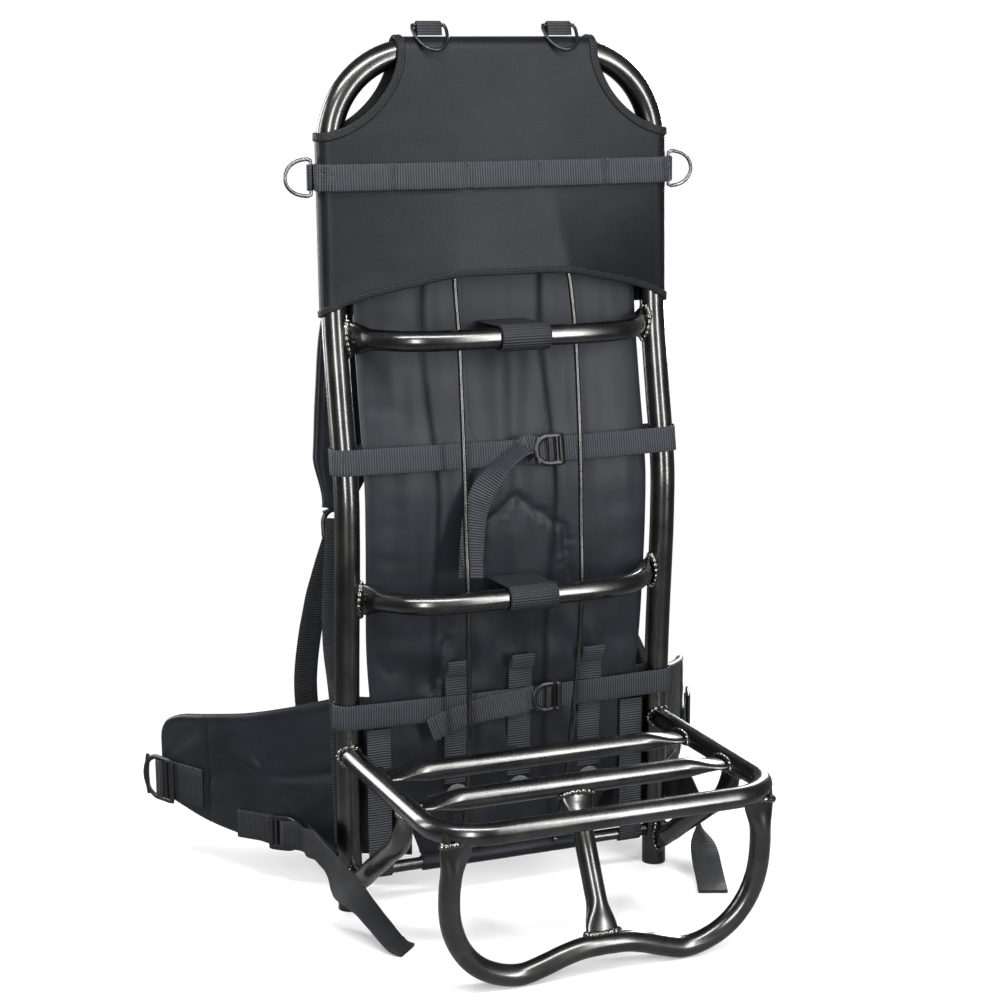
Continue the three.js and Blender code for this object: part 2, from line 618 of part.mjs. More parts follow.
const lumbarY = padBack(BELT_Z) + GAP + LUMBAR_THICKNESS / 2;
function lumbarPad() {
  const us = [-1, -0.92, -0.65, -0.3, 0, 0.3, 0.65, 0.92, 1];
  const vs = [-1, -0.9, -0.6, -0.2, 0.2, 0.6, 0.9, 1];
  const walls = [];
  const sheet = grid(us, vs, (u, v) => {
    const z = BELT_Z + (v * BELT_HEIGHT) / 2;
    const corner = 1 - 0.08 * Math.abs(v) ** 3;
    walls.push(FABRIC * 2 + (LUMBAR_THICKNESS - FABRIC * 2) * pillow(u, v));
    return v3((u * corner * LUMBAR_WIDTH) / 2, lumbarY, z);
  });
  return thicken([{ ...sheet, walls }], FABRIC);
}

// Hip belt wings: plan line from the lumbar pad round the hips, with the height of both edges
const WING = [ // share of half the spread, share of the reach, both edges as shares of the height
  [(LUMBAR_WIDTH + 8 * GAP) / BELT_SPREAD, lumbarY / BELT_REACH, 0.49, -0.5],
  [0.43, 0.16, 0.5, -0.5], [0.53, 0.215, 0.5, -0.49],
  [0.675, 0.355, 0.42, -0.49], [0.79, 0.52, 0.35, -0.45], [0.89, 0.705, 0.3, -0.4],
  [0.96, 0.88, 0.25, -0.34], [1, 1, 0.16, -0.3],
];
const wingPlan = (column) => WING.map((row, i) => [i / (WING.length - 1), row[column]]);
function wingPoint(side, t, v, off = 0) {
  const read = (column, at) => follow(wingPlan(column), at);
  const place = (at) => v3((side * read(0, at) * BELT_SPREAD) / 2, read(1, at) * BELT_REACH, 0);
  const point = place(t);
  const run = place(Math.min(t + 0.01, 1)).sub(place(Math.max(t - 0.01, 0)));
  const out = v3(run.y * side, -run.x * side, 0).normalize();
  point.z = BELT_Z + BELT_HEIGHT * THREE.MathUtils.lerp(read(3, t), read(2, t), v);
  return point.addScaledVector(out, off);
}
function wing(side) {
  const walls = [];
  const ts = [0, 0.07, 0.18, 0.3, 0.42, 0.54, 0.66, 0.78, 0.88, 0.96, 1];
  const sheet = grid(ts, [0, 0.08, 0.3, 0.55, 0.8, 0.93, 1], (t, v) => {
    walls.push(FABRIC * 2 + (BELT_THICKNESS - FABRIC * 2) * pillow(2 * t - 1, 2 * v - 1));
    return wingPoint(side, t, v);
  });
  return thicken([{ ...sheet, walls }], FABRIC);
}

// A ladder-lock buckle: a plate with one round end, two slots and three bars.
// Local X runs along the webbing, local Y across it, local Z away from it.
function buckleBlank(width) {
  const half = width / 2 + 4;
  const long = half * 0.72;
  const plate = new THREE.Shape();
  plate.moveTo(long, -half);
  plate.lineTo(long, half);
  plate.lineTo(long * 0.1, half);
  plate.absellipse(-long * 0.1, 0, long, half, Math.PI / 2, 1.5 * Math.PI, false);
  for (const [from, to, share] of [[-0.62, -0.08, 0.94], [0.2, 0.72, 1]]) {
    const slot = new THREE.Path();
    const reach = (share * width) / 2;
    slot.moveTo(from * long, -reach);
    slot.lineTo(from * long, reach);
    slot.lineTo(to * long, reach);
    slot.lineTo(to * long, -reach);
    plate.holes.push(slot);
  }
  return new THREE.ExtrudeGeometry(plate, { depth: BUCKLE_THICKNESS, bevelEnabled: false, curveSegments: 5 });
}

function turnTo(along, out) {
  const x = along.clone().normalize();
  const y = v3(0, 0, 0).crossVectors(out, x).normalize();
  const basis = new THREE.Matrix4().makeBasis(x, y, out.clone().normalize());
  return new THREE.Quaternion().setFromRotationMatrix(basis);
}

// Webbing bands across the load side, wrapped round the uprights and sewn to the pad behind
const bandSkin = clearOf(mainRadius + GAP, WEBBING);
const lean = (z) => v3(0, (spine(z + 6) - spine(z - 6)) / 12, 1);
const bandOut = (z) => v3(0, -1, lean(z).y).normalize();
const bandPoint = (x, z) => v3(x, spine(z) - bandSkin, z);
function band(z) {
  const round = spaced(0, Math.PI, WRAP_STEPS).map((turn) => {
    return v3(halfGauge + bandSkin * Math.sin(turn), spine(z) - bandSkin * Math.cos(turn), z);
  });
  const sewn = v3(padWidth / 2 - 0.7 * WEBBING_WIDTH, padBack(z) + 3 * GAP + WEBBING / 2, z);
  const half = [bandPoint(0, z), ...round, sewn];
  return strap([...mirrored(half.slice(1).reverse(), -1), ...half], lean(z));
}

// Loose end of a band, hanging from its buckle: rows of [sideways, drop] as shares of the tail's length
const UPPER_TAIL = [[0, 0], [0.12, -0.02], [0.3, 0.07], [0.47, 0.24], [0.58, 0.48], [0.63, 0.74], [0.66, 1]];
const LOWER_TAIL = [[0, 0], [0.25, 0.02], [0.55, 0.06], [0.8, 0.12], [1, 0.19]];
function bandTail(z, rows, length) {
  const out = bandOut(z);
  const start = BAND_BUCKLE_X - 0.56 * WEBBING_WIDTH;
  const route = smooth(rows.map(([x, drop]) => {
    const lying = bandPoint(start - x * length, z).addScaledVector(lean(z), -drop * length);
    return lying.addScaledVector(out, WEBBING + 2 * GAP + 2 * WEBBING * Math.min(x, 0.5));
  }), 12);
  const run = tangents(route, false);
  return strap(route, run.map((t) => v3(0, 0, 0).crossVectors(t, out)));
}

// Webbing wrapped round the middle of a crossbar and carried back to the pad
function barWrap(z, bow) {
  const radius = clearOf(barRadius, WEBBING);
  const y = crossbarY(z, bow, 0);
  const face = (height) => padFront(height) - GAP * 2 - WEBBING / 2;
  const round = spaced(-0.5 * Math.PI, 0.5 * Math.PI, WRAP_STEPS).map((turn) => {
    return v3(0, y - radius * Math.cos(turn), z + radius * Math.sin(turn));
  });
  const route = [v3(0, face(z - radius), z - radius), ...round, v3(0, face(z + radius), z + radius * 0.9)];
  return strap(route, X, WEBBING_WIDTH * 2);
}

// Webbing stitched down the front of the pad, each with a raised loop at its top
const PAD_STRAPS = [['left', -0.38], ['middle', 0.08], ['right', 0.6]]; // share of half the pad's width
const PAD_LOOP_ROWS = [ // share of the loop's height below its top, share of how far it stands out
  [0.35, 0.64], [0, 1], [-0.07, 0.86], [0.29, 0.24], [1, 0.24],
];
const padLoopZ = BAND_LOWER_Z + WEBBING_WIDTH / 2 + 0.93 * PAD_LOOP_DROP;
const onPad = (x, z, off) => v3(x, padFront(z) - GAP - WEBBING / 2 - off, z);
function padStrap(x) {
  const loop = PAD_LOOP_ROWS.map(([drop, off]) => onPad(x, padLoopZ - drop * PAD_LOOP_DROP, off * PAD_LOOP));
  const strip = [(BAND_LOWER_Z + PAD_STRAP_FOOT_Z) / 2, PAD_STRAP_FOOT_Z].map((z) => onPad(x, z, 0));
  return strap([...loop, ...strip], X);
}

// Webbing at the pad's edges, from the lower band to the bottom bar and round it
function outerStrap(side) {
  const round = spaced(0, 0.5 * Math.PI, 3);
  const radius = clearOf(BOTTOM_BAR_DIA / 2, WEBBING);
  const x = side * (padWidth / 2 - 0.44 * WEBBING_WIDTH);
  const edge = FABRIC * 0.75 + 0.35 * PAD_THICKNESS - PAD_THICKNESS / 2;
  const levels = spaced(BAND_LOWER_Z - 0.7 * WEBBING_WIDTH, 2 * BOTTOM_BAR_Z, 2);
  return strap([
    ...levels.map((z) => onPad(x, z, edge)),
    ...round.map((turn) => v3(x, -radius * Math.cos(turn), BOTTOM_BAR_Z - radius * Math.sin(turn))),
  ], X);
}

// Hip belt fittings
const TIP = 0.93;
const ADJUST = 0.44;
function onWing(side, t, height, off) {
  const low = wingPoint(side, t, 0, off);
  return v3(low.x, low.y, height);
}
function wingFrame(side, t) {
  const run = wingPoint(side, Math.min(t + 0.03, 1), 0).sub(wingPoint(side, t - 0.03, 0)).setZ(0).normalize();
  const out = v3(run.y * side, -run.x * side, 0);
  return { run, out };
}
const wingSkin = BELT_THICKNESS / 2 + GAP;
function wingTab(side) {
  const off = wingSkin + WEBBING / 2 + GAP;
  const route = [0.66, 0.74, 0.82, 0.9, 0.96].map((t) => onWing(side, t, BELT_BUCKLE_Z, off));
  return strap(route, Z, BELT_BUCKLE_WEBBING);
}
const hipAnchor = (side) => v3((side * (FRAME_WIDTH + WEBBING)) / 2, WEBBING, HIP_ANCHOR_Z);
function hipWeb(side) {
  const start = onWing(side, ADJUST - 0.06, HIP_WEB_Z, wingSkin + GAP);
  const middle = start.clone().lerp(hipAnchor(side), 0.5).add(v3(0, -WEBBING, 0));
  return strap(smooth([start, middle, hipAnchor(side)], 5), Z);
}

// Loose ends of the hip webbing: share of half the frame's width, share of the reach in front of the
// uprights, share of the belt's height
const HIP_TAIL = {
  left: [
    [1.14, -0.2, 0.52], [1.13, 0, 0.56], [1.11, 0.235, 0.51], [1.07, 0.485, 0.38], [0.99, 0.72, 0.23],
    [0.917, 0.89, 0.07], [0.885, 0.95, 0.015], [0.85, 1, 0],
  ],
  right: [
    [1.16, -0.22, 0.55], [1.15, -0.02, 0.62], [1.14, 0.17, 0.55], [1.128, 0.31, 0.345], [1.095, 0.485, 0.15],
    [1.06, 0.665, 0.03], [1.035, 0.76, 0.005], [1.01, 0.845, 0],
  ],
};
function hipTail(name, side) {
  const { run: along, out } = wingFrame(1, ADJUST);
  const start = onWing(1, ADJUST, HIP_WEB_Z, wingSkin + 2.5 * GAP + BUCKLE_THICKNESS + WEBBING / 2);
  const leaving = start.clone().addScaledVector(along, -0.6 * HIP_WEBBING_WIDTH);
  leaving.addScaledVector(out, WEBBING);
  const rows = HIP_TAIL[name].map(([x, y, z]) => {
    return v3((x * FRAME_WIDTH) / 2, -y * HIP_TAIL_REACH, WEBBING / 2 + 2 * GAP + z * BELT_Z);
  });
  const route = mirrored(smooth([start, leaving, ...rows], 16), side);
  const run = tangents(route, false);
  const widths = run.map((t, i) => {
    const lying = THREE.MathUtils.smoothstep(i / 16, 0.4, 0.8);
    const facing = v3(side * out.x, out.y, 0).lerp(v3(side, 0, 0), Math.min(i / 5, 1)).lerp(Z, lying);
    return v3(0, 0, 0).crossVectors(t, facing).normalize();
  });
  return strap(route, widths, HIP_WEBBING_WIDTH);
}

// Shoulder straps: rows of [share of the half gauge, share of the arc, share of the top's height]
const onShoulder = (side, [x, y, z]) => v3(side * x * halfGauge, y * SHOULDER_ARC, z * SHOULDER_TOP_Z);
const SHOULDER = [
  [0.34, 0.152, 0.86], [0.37, 0.22, 0.905], [0.41, 0.38, 0.959], [0.49, 0.6, 1], [0.61, 0.85, 0.984],
  [0.71, 0.97, 0.913], [0.755, 1, 0.794], [0.79, 0.96, 0.683], [0.845, 0.885, 0.611],
];
const SHOULDER_END = [0.85, 0.87, 0.589];
const SHOULDER_WEB = [
  [0.848, 0.859, 0.597], [0.93, 0.643, 0.416], [0.975, 0.27, 0.328], [0.985, 0.19, 0.22],
  [0.99, (mainRadius + WEBBING / 2) / SHOULDER_ARC, 0.1],
];
const SHOULDER_TAIL = [[0.85, 0.903, 0.574], [0.95, 1.054, 0.46], [1, 1.214, 0.318], [0.96, 1.268, 0.203]];
function shoulderPad(side) {
  const curve = smooth(SHOULDER.map((row) => onShoulder(side, row)), 16);
  const run = tangents(curve, false);
  const walls = [];
  const sheet = grid([...curve.keys()], [-1, -0.8, 0, 0.8, 1], (i, v) => {
    const t = i / (curve.length - 1);
    const w = v3(1, 0, 0).addScaledVector(run[i], -run[i].x).normalize();
    const taper = 1 - 0.5 * THREE.MathUtils.smoothstep(t, 0.86, 1)
      - 0.25 * THREE.MathUtils.smoothstep(1 - t, 0.85, 1);
    walls.push(FABRIC * 1.5 + (SHOULDER_THICKNESS - FABRIC * 1.5) * pillow(2 * t - 1, v));
    return curve[i].clone().addScaledVector(w, (v * taper * SHOULDER_WIDTH) / 2);
  });
  return thicken([{ ...sheet, walls }], FABRIC);
}
const shoulderWeb = (side) => strap(smooth(SHOULDER_WEB.map((row) => onShoulder(side, row)), 9), X);
const shoulderTail = (side) => strap(smooth(SHOULDER_TAIL.map((row) => onShoulder(side, row)), 8), X);

// Colours and finishes
const tubeFinish = { color: 0x3a3937, roughness: 0.3, metalness: 0.85 };
const fabricFinish = { color: 0x26272a, roughness: 0.85, metalness: 0 };
const padFinish = { color: 0x222326, roughness: 0.7, metalness: 0 };
const webbingFinish = { color: 0x3b393c, roughness: 0.9, metalness: 0 };
const plasticFinish = { color: 0x17181a, roughness: 0.45, metalness: 0 };
const ringFinish = { color: 0x55565a, roughness: 0.35, metalness: 0.8 };

const frame = new THREE.Group();
function add(name, geometry, finish, place = null, turn = null) {
  const mesh = new THREE.Mesh(geometry, new THREE.MeshStandardMaterial(finish));
  mesh.name = name;
  if (place) mesh.position.copy(place);
  if (turn) mesh.quaternion.copy(turn);
  frame.add(mesh);
}

add('main_tube', mainTube(), tubeFinish);
add('crossbar_upper', crossbar(CROSSBAR_UPPER_Z, CROSSBAR_UPPER_BOW), tubeFinish);
add('crossbar_lower', crossbar(CROSSBAR_LOWER_Z, CROSSBAR_LOWER_BOW), tubeFinish);
add('bottom_bar', bottomBar(), tubeFinish);
add('shelf_rail', shelfRail(), tubeFinish);
add('shelf_bar_rear', shelfBar(SHELF_BAR_REAR), tubeFinish);
add('shelf_bar_front', shelfBar(SHELF_BAR_FRONT), tubeFinish);
add('stand_loop', standLoop(), tubeFinish);
add('stand_strut', standStrut(), tubeFinish);
add('top_panel', topPanel(), fabricFinish);
add('panel_webbing', panelWebbing(), webbingFinish);
add('back_pad', backPad(), padFinish);
add('bottom_sleeve', bottomSleeve(), padFinish);
add('lumbar_pad', lumbarPad(), padFinish);
add('crossbar_wrap_upper', barWrap(CROSSBAR_UPPER_Z, CROSSBAR_UPPER_BOW), webbingFinish);
add('crossbar_wrap_lower', barWrap(CROSSBAR_LOWER_Z, CROSSBAR_LOWER_BOW), webbingFinish);

for (const [name, z, rows, length] of [
  ['upper', BAND_UPPER_Z, UPPER_TAIL, BAND_TAIL_UPPER],
  ['lower', BAND_LOWER_Z, LOWER_TAIL, BAND_TAIL_LOWER],
]) {
  add(`band_${name}`, band(z), webbingFinish);
  add(`band_tail_${name}`, bandTail(z, rows, length), webbingFinish);
  const place = bandPoint(BAND_BUCKLE_X, z).addScaledVector(bandOut(z), WEBBING / 2 + GAP);
  add(`band_buckle_${name}`, buckleBlank(WEBBING_WIDTH), plasticFinish, place, turnTo(X, bandOut(z)));
}

for (const [name, x] of PAD_STRAPS) add(`pad_strap_${name}`, padStrap((x * padWidth) / 2), webbingFinish);

for (const [name, side] of SIDES) {
  add(`rod_${name}`, rod(side), tubeFinish);
  add(`brace_${name}`, brace(side), tubeFinish);
  add(`side_ring_${name}`, sideRing(side), ringFinish);
  add(`side_loop_${name}`, sideLoop(side), webbingFinish);
  add(`top_ring_${name}`, topRing(side), plasticFinish);
  add(`top_loop_${name}`, topLoop(side), webbingFinish);
  add(`outer_strap_${name}`, outerStrap(side), webbingFinish);
  add(`belt_wing_${name}`, wing(side), padFinish);
  add(`belt_tab_${name}`, wingTab(side), webbingFinish);
  const tip = wingFrame(side, TIP);
  const tipPlace = onWing(side, TIP, BELT_BUCKLE_Z, wingSkin + WEBBING + 3 * GAP)
    .addScaledVector(tip.run, 0.38 * BELT_BUCKLE_WEBBING);
  const tipTurn = turnTo(tip.run.clone().negate(), tip.out);
  add(`belt_buckle_${name}`, buckleBlank(BELT_BUCKLE_WEBBING), plasticFinish, tipPlace, tipTurn);
  const seat = wingFrame(side, ADJUST);
  const seatPlace = onWing(side, ADJUST, HIP_WEB_Z, wingSkin + GAP);
  const seatTurn = turnTo(seat.run, seat.out);
  add(`belt_adjuster_${name}`, buckleBlank(HIP_WEBBING_WIDTH), plasticFinish, seatPlace, seatTurn);
  add(`hip_web_${name}`, hipWeb(side), webbingFinish);
  add(`hip_tail_${name}`, hipTail(name, side), webbingFinish);
  add(`shoulder_pad_${name}`, shoulderPad(side), padFinish);
  add(`shoulder_web_${name}`, shoulderWeb(side), webbingFinish);
  add(`shoulder_tail_${name}`, shoulderTail(side), webbingFinish);
  const buckleTurn = turnTo(v3(0, -0.1, -1), v3(0, 1, -0.1));
  const buckleAt = onShoulder(side, SHOULDER_END);
  add(`shoulder_buckle_${name}`, buckleBlank(WEBBING_WIDTH), plasticFinish, buckleAt, buckleTurn);
}

// The origin lies on the floor, under the middle of the whole object
const model = new THREE.Group();
model.add(frame);
model.updateMatrixWorld(true);
const box = new THREE.Box3().setFromObject(frame, true);
const middle = box.getCenter(v3(0, 0, 0));
frame.position.set(-middle.x, -middle.y, -box.min.z);
model.updateMatrixWorld(true);

export default model;
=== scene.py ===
import math

import bmesh
import bpy
from mathutils import Matrix, Vector, noise


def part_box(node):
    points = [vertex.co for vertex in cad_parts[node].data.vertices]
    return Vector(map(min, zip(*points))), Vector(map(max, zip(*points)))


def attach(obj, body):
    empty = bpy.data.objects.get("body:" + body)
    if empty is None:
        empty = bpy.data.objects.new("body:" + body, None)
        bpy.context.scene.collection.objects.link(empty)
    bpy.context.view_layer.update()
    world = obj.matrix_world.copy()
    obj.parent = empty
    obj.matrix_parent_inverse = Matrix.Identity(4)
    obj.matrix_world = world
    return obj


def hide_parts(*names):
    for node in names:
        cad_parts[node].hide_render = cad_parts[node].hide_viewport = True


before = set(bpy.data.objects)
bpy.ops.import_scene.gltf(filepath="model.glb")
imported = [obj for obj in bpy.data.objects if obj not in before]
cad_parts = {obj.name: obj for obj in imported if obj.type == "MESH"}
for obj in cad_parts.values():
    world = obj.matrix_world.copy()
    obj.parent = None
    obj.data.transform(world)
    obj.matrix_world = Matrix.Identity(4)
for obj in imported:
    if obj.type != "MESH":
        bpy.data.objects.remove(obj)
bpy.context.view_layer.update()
print("packed frame loaded")

# Pieces are modelled in millimetres, +Z up, round the middle between the frame's feet, and then
# brought into the row's frame in metres. The bottom bar tells where that middle is.
bottomBarZ = 36
barLow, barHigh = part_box("bottom_bar")
floorMiddle = (barLow + barHigh) / 2 - Vector((0, 0, bottomBarZ / 1000))
toRow = Matrix.Translation(floorMiddle) @ Matrix.Scale(0.001, 4)

up = Vector((0, 0, 1))
right = Vector((1, 0, 0))
back = Vector((0, 1, 0))
sides = [("left", -1), ("right", 1)]
touching = 0.3  # gap between neighbouring pieces


# Colours and materials

def srgb(code):
    channels = [int(code[i:i + 2], 16) / 255 for i in (1, 3, 5)]
    return [c / 12.92 if c <= 0.04045 else ((c + 0.055) / 1.055) ** 2.4 for c in channels] + [1]


# A node with its settings, by name or socket, and its links; n0 is the first socket
def addNode(tree, kind, settings=None, **links):
    node = tree.nodes.new(kind)
    for key, value in (settings or {}).items():
        if isinstance(key, str) and hasattr(node, key):
            setattr(node, key, value)
        else:
            node.inputs[key].default_value = value
    for key, source in links.items():
        tree.links.new(source, node.inputs[int(key[1:]) if key[0] == "n" and key[1:].isdigit() else key])
    return node


def newMaterial(name, settings):
    material = bpy.data.materials.new(name)
    material.use_nodes = True
    tree = material.node_tree
    tree.nodes.clear()
    shader = addNode(tree, "ShaderNodeBsdfPrincipled", settings)
    addNode(tree, "ShaderNodeOutputMaterial", Surface=shader.outputs[0])
    return material, tree, shader


def ramp(tree, source, stops):
    node = addNode(tree, "ShaderNodeValToRGB", Fac=source)
    for element, (place, code) in zip(node.color_ramp.elements, stops):
        element.position = place
        element.color = srgb(code)
    return node.outputs[0]


def bumped(tree, shader, height, strength, distance):
    node = addNode(tree, "ShaderNodeBump", {"Strength": strength, "Distance": distance}, Height=height)
    tree.links.new(node.outputs[0], shader.inputs["Normal"])


# Wave bands repeat every 0.314 units at scale 1
def waveScale(period):
    return math.pi / 10 / period


# Aluminium tube, drawn, pressed flat at its ends and anodised in bronze black, with a clear seal: a
# satin metal whose streaks of light run along it, a little duller where it was handled
def anodisedAluminium():
    finish = {"light": "#525251", "dark": "#3e3e3e", "smooth": 0.23, "dull": 0.32, "seal": 0.45}
    material, tree, shader = newMaterial("anodised aluminium tube", {
        "Metallic": 1.0, "Coat Weight": finish["seal"], "Coat Roughness": 0.14})
    place = addNode(tree, "ShaderNodeTexCoord").outputs["Object"]
    cloud = addNode(tree, "ShaderNodeTexNoise", {"Scale": 38, "Detail": 4}, Vector=place)
    fine = addNode(tree, "ShaderNodeTexNoise", {"Scale": 900, "Detail": 2}, Vector=place)
    colour = ramp(tree, cloud.outputs[0], [(0.3, finish["dark"]), (0.7, finish["light"])])
    tree.links.new(colour, shader.inputs["Base Color"])
    rough = addNode(tree, "ShaderNodeMapRange", {"To Min": finish["smooth"], "To Max": finish["dull"]},
                    Value=cloud.outputs[0])
    tree.links.new(rough.outputs[0], shader.inputs["Roughness"])
    bumped(tree, shader, fine.outputs[0], 0.06, 0.0004)
    return material


# Weld bead: the same metal, left rippled and shinier
def weldMetal():
    material, tree, shader = newMaterial("weld bead", {
        "Base Color": srgb("#5a5854"), "Metallic": 1.0, "Roughness": 0.2, "Coat Weight": 0.6,
        "Coat Roughness": 0.1})
    place = addNode(tree, "ShaderNodeTexCoord").outputs["Object"]
    grit = addNode(tree, "ShaderNodeTexNoise", {"Scale": 420, "Detail": 3}, Vector=place)
    bumped(tree, shader, grit.outputs[0], 0.25, 0.0008)
    return material


# Plain-woven nylon: two crossed threads, drawn at 1.7 mm so that the weave shows, over slow clouds of
# wear; the gaps between the threads are painted darker, as painted shade. `sheen` stays on the shader's own
# socket.
def wovenNylon(name, light, dark, rough, sheen, thread, relief, shine=0.2):
    material, tree, shader = newMaterial(name, {
        "Roughness": rough, "Sheen Weight": sheen, "Sheen Roughness": 0.4, "Specular IOR Level": shine})
    place = addNode(tree, "ShaderNodeTexCoord").outputs["Object"]
    waves = []
    for axis in ("X", "Z"):
        wave = addNode(tree, "ShaderNodeTexWave", {
            "bands_direction": axis, "Scale": waveScale(thread / 1000), "Distortion": 0.6,
            "Detail": 1, "Detail Scale": 2}, Vector=place)
        waves.append(wave.outputs["Fac"])
    weave = addNode(tree, "ShaderNodeMath", {"operation": "MULTIPLY"}, n0=waves[0], n1=waves[1])
    cloud = addNode(tree, "ShaderNodeTexNoise", {"Scale": 22, "Detail": 5, "Roughness": 0.6}, Vector=place)
    # painted shade: the colour darkens where the weave's bump is low, over the real random wear
    wearAndGrooveShade = addNode(tree, "ShaderNodeMath", {"operation": "MULTIPLY_ADD", 1: 0.4}, n0=weave.outputs[0],
                    n2=cloud.outputs[0])
    colour = ramp(tree, wearAndGrooveShade.outputs[0], [(0.35, dark), (0.85, light)])
    tree.links.new(colour, shader.inputs["Base Color"])
    bumped(tree, shader, weave.outputs[0], relief, 0.0006)
    return material


# Woven nylon webbing: ribs across its run, drawn at 2.6 mm so that they show, crossed by fine cords
# along it, with a plain edge. Its colour is painted darker in the grooves, as painted shade, over
# random wear. It reads the strap's own map, side and run in millimetres.
def wovenWebbing(name, light, dark, period, relief=0.8):
    material, tree, shader = newMaterial(name, {"Roughness": 0.6, "Specular IOR Level": 0.3})
    place = addNode(tree, "ShaderNodeUVMap", {"uv_map": "weave"}).outputs[0]
    rib = addNode(tree, "ShaderNodeTexWave", {
        "bands_direction": "Y", "Scale": waveScale(period), "Distortion": 0.9, "Detail": 2,
        "Detail Scale": 0.5}, Vector=place)
    cords = addNode(tree, "ShaderNodeTexWave", {
        "bands_direction": "X", "Scale": waveScale(1.9), "Distortion": 0.4}, Vector=place)
    weave = addNode(tree, "ShaderNodeMath", {"operation": "MULTIPLY_ADD", 1: 0.22}, n0=cords.outputs["Fac"],
                    n2=rib.outputs["Fac"])
    wear = addNode(tree, "ShaderNodeTexNoise", {"Scale": 0.09, "Detail": 4}, Vector=place)
    # painted shade: the colour darkens where the weave's bump is low; the wear noise is real random tone
    tone = addNode(tree, "ShaderNodeMath", {"operation": "MULTIPLY_ADD", 1: 0.35}, n0=wear.outputs[0],
                   n2=weave.outputs[0])
    colour = ramp(tree, tone.outputs[0], [(0.2, dark), (1.0, light)])
    tree.links.new(colour, shader.inputs["Base Color"])
    bumped(tree, shader, weave.outputs[0], relief, 0.0007)
    return material


# Acetal, moulded: near black, satin, with a faint moulded grain
def mouldedAcetal():
    material, tree, shader = newMaterial("moulded acetal", {
        "Base Color": srgb("#0c0c0e"), "Roughness": 0.36, "IOR": 1.48})
    place = addNode(tree, "ShaderNodeTexCoord").outputs["Object"]
    grain = addNode(tree, "ShaderNodeTexNoise", {"Scale": 1400, "Detail": 2}, Vector=place)
    rough = addNode(tree, "ShaderNodeMapRange", {"To Min": 0.3, "To Max": 0.46}, Value=grain.outputs[0])
    tree.links.new(rough.outputs[0], shader.inputs["Roughness"])
    bumped(tree, shader, grain.outputs[0], 0.12, 0.0003)
    return material


# Steel wire, zinc plated and bent: dull silver with small stains
def platedSteel():
    material, tree, shader = newMaterial("plated steel wire", {"Metallic": 1.0})
    place = addNode(tree, "ShaderNodeTexCoord").outputs["Object"]
    stain = addNode(tree, "ShaderNodeTexNoise", {"Scale": 160, "Detail": 4}, Vector=place)
    colour = ramp(tree, stain.outputs[0], [(0.3, "#46464a"), (0.75, "#77777c")])
    tree.links.new(colour, shader.inputs["Base Color"])
    rough = addNode(tree, "ShaderNodeMapRange", {"To Min": 0.2, "To Max": 0.36}, Value=stain.outputs[0])
    tree.links.new(rough.outputs[0], shader.inputs["Roughness"])
    return material


# Bonded polyester thread: tight, a little shiny
def polyesterThread():
    material, tree, shader = newMaterial("polyester thread", {
        "Base Color": srgb("#151619"), "Roughness": 0.5})
    place = addNode(tree, "ShaderNodeTexCoord").outputs["Object"]
    twist = addNode(tree, "ShaderNodeTexNoise", {"Scale": 1500, "Detail": 2}, Vector=place)
    bumped(tree, shader, twist.outputs[0], 0.4, 0.0003)
    return material


tubeMetal = anodisedAluminium()
beadMetal = weldMetal()
panelNylon = wovenNylon("coated nylon canvas", "#121418", "#07080a", 0.42, 0.02, 1.7, 0.24, 0.17)
padNylon = wovenNylon("smooth nylon over foam", "#1d2026", "#111317", 0.42, 0.03, 1.1, 0.12, 0.2)
bindingNylon = wovenNylon("nylon binding tape", "#18191b", "#0b0c0d", 0.55, 0.03, 1.6, 0.6)
greyWebbing = wovenWebbing("nylon webbing, charcoal", "#34363c", "#08090b", 2.6, 1.0)
darkWebbing = wovenWebbing("nylon webbing, black", "#232427", "#090a0b", 2.6)
greyPatch = wovenWebbing("nylon webbing, light grey", "#6f7074", "#3c3d40", 1.8)
blackPlastic = mouldedAcetal()
steel = platedSteel()
thread = polyesterThread()
print("materials made")


# Geometry helpers

# A smooth value read from rows of (key, value)
def follow(rows, key):
    last = len(rows) - 1
    if key <= rows[0][0]:
        return rows[0][1]
    if key >= rows[last][0]:
        return rows[last][1]
    i = next(k for k, row in enumerate(rows) if row[0] > key) - 1

    def slope(k):
        a, b = rows[max(k - 1, 0)], rows[min(k + 1, last)]
        return (b[1] - a[1]) / (b[0] - a[0])

    (x0, y0), (x1, y1) = rows[i], rows[i + 1]
    h = x1 - x0
    t = (key - x0) / h
    rise = (y1 - y0) * t * t * (3 - 2 * t)
    return y0 + rise + h * t * (1 - t) * (slope(i) * (1 - t) - slope(i + 1) * t)


def spaced(start, end, steps):
    return [start + (end - start) * i / steps for i in range(steps + 1)]


def mix(a, b, t):
    return a + (b - a) * t


def smoothstep(x, low, high):
    t = min(max((x - low) / (high - low), 0), 1)
    return t * t * (3 - 2 * t)


def mirrored(route, side):
    return [Vector((p.x * side, p.y, p.z)) for p in route]


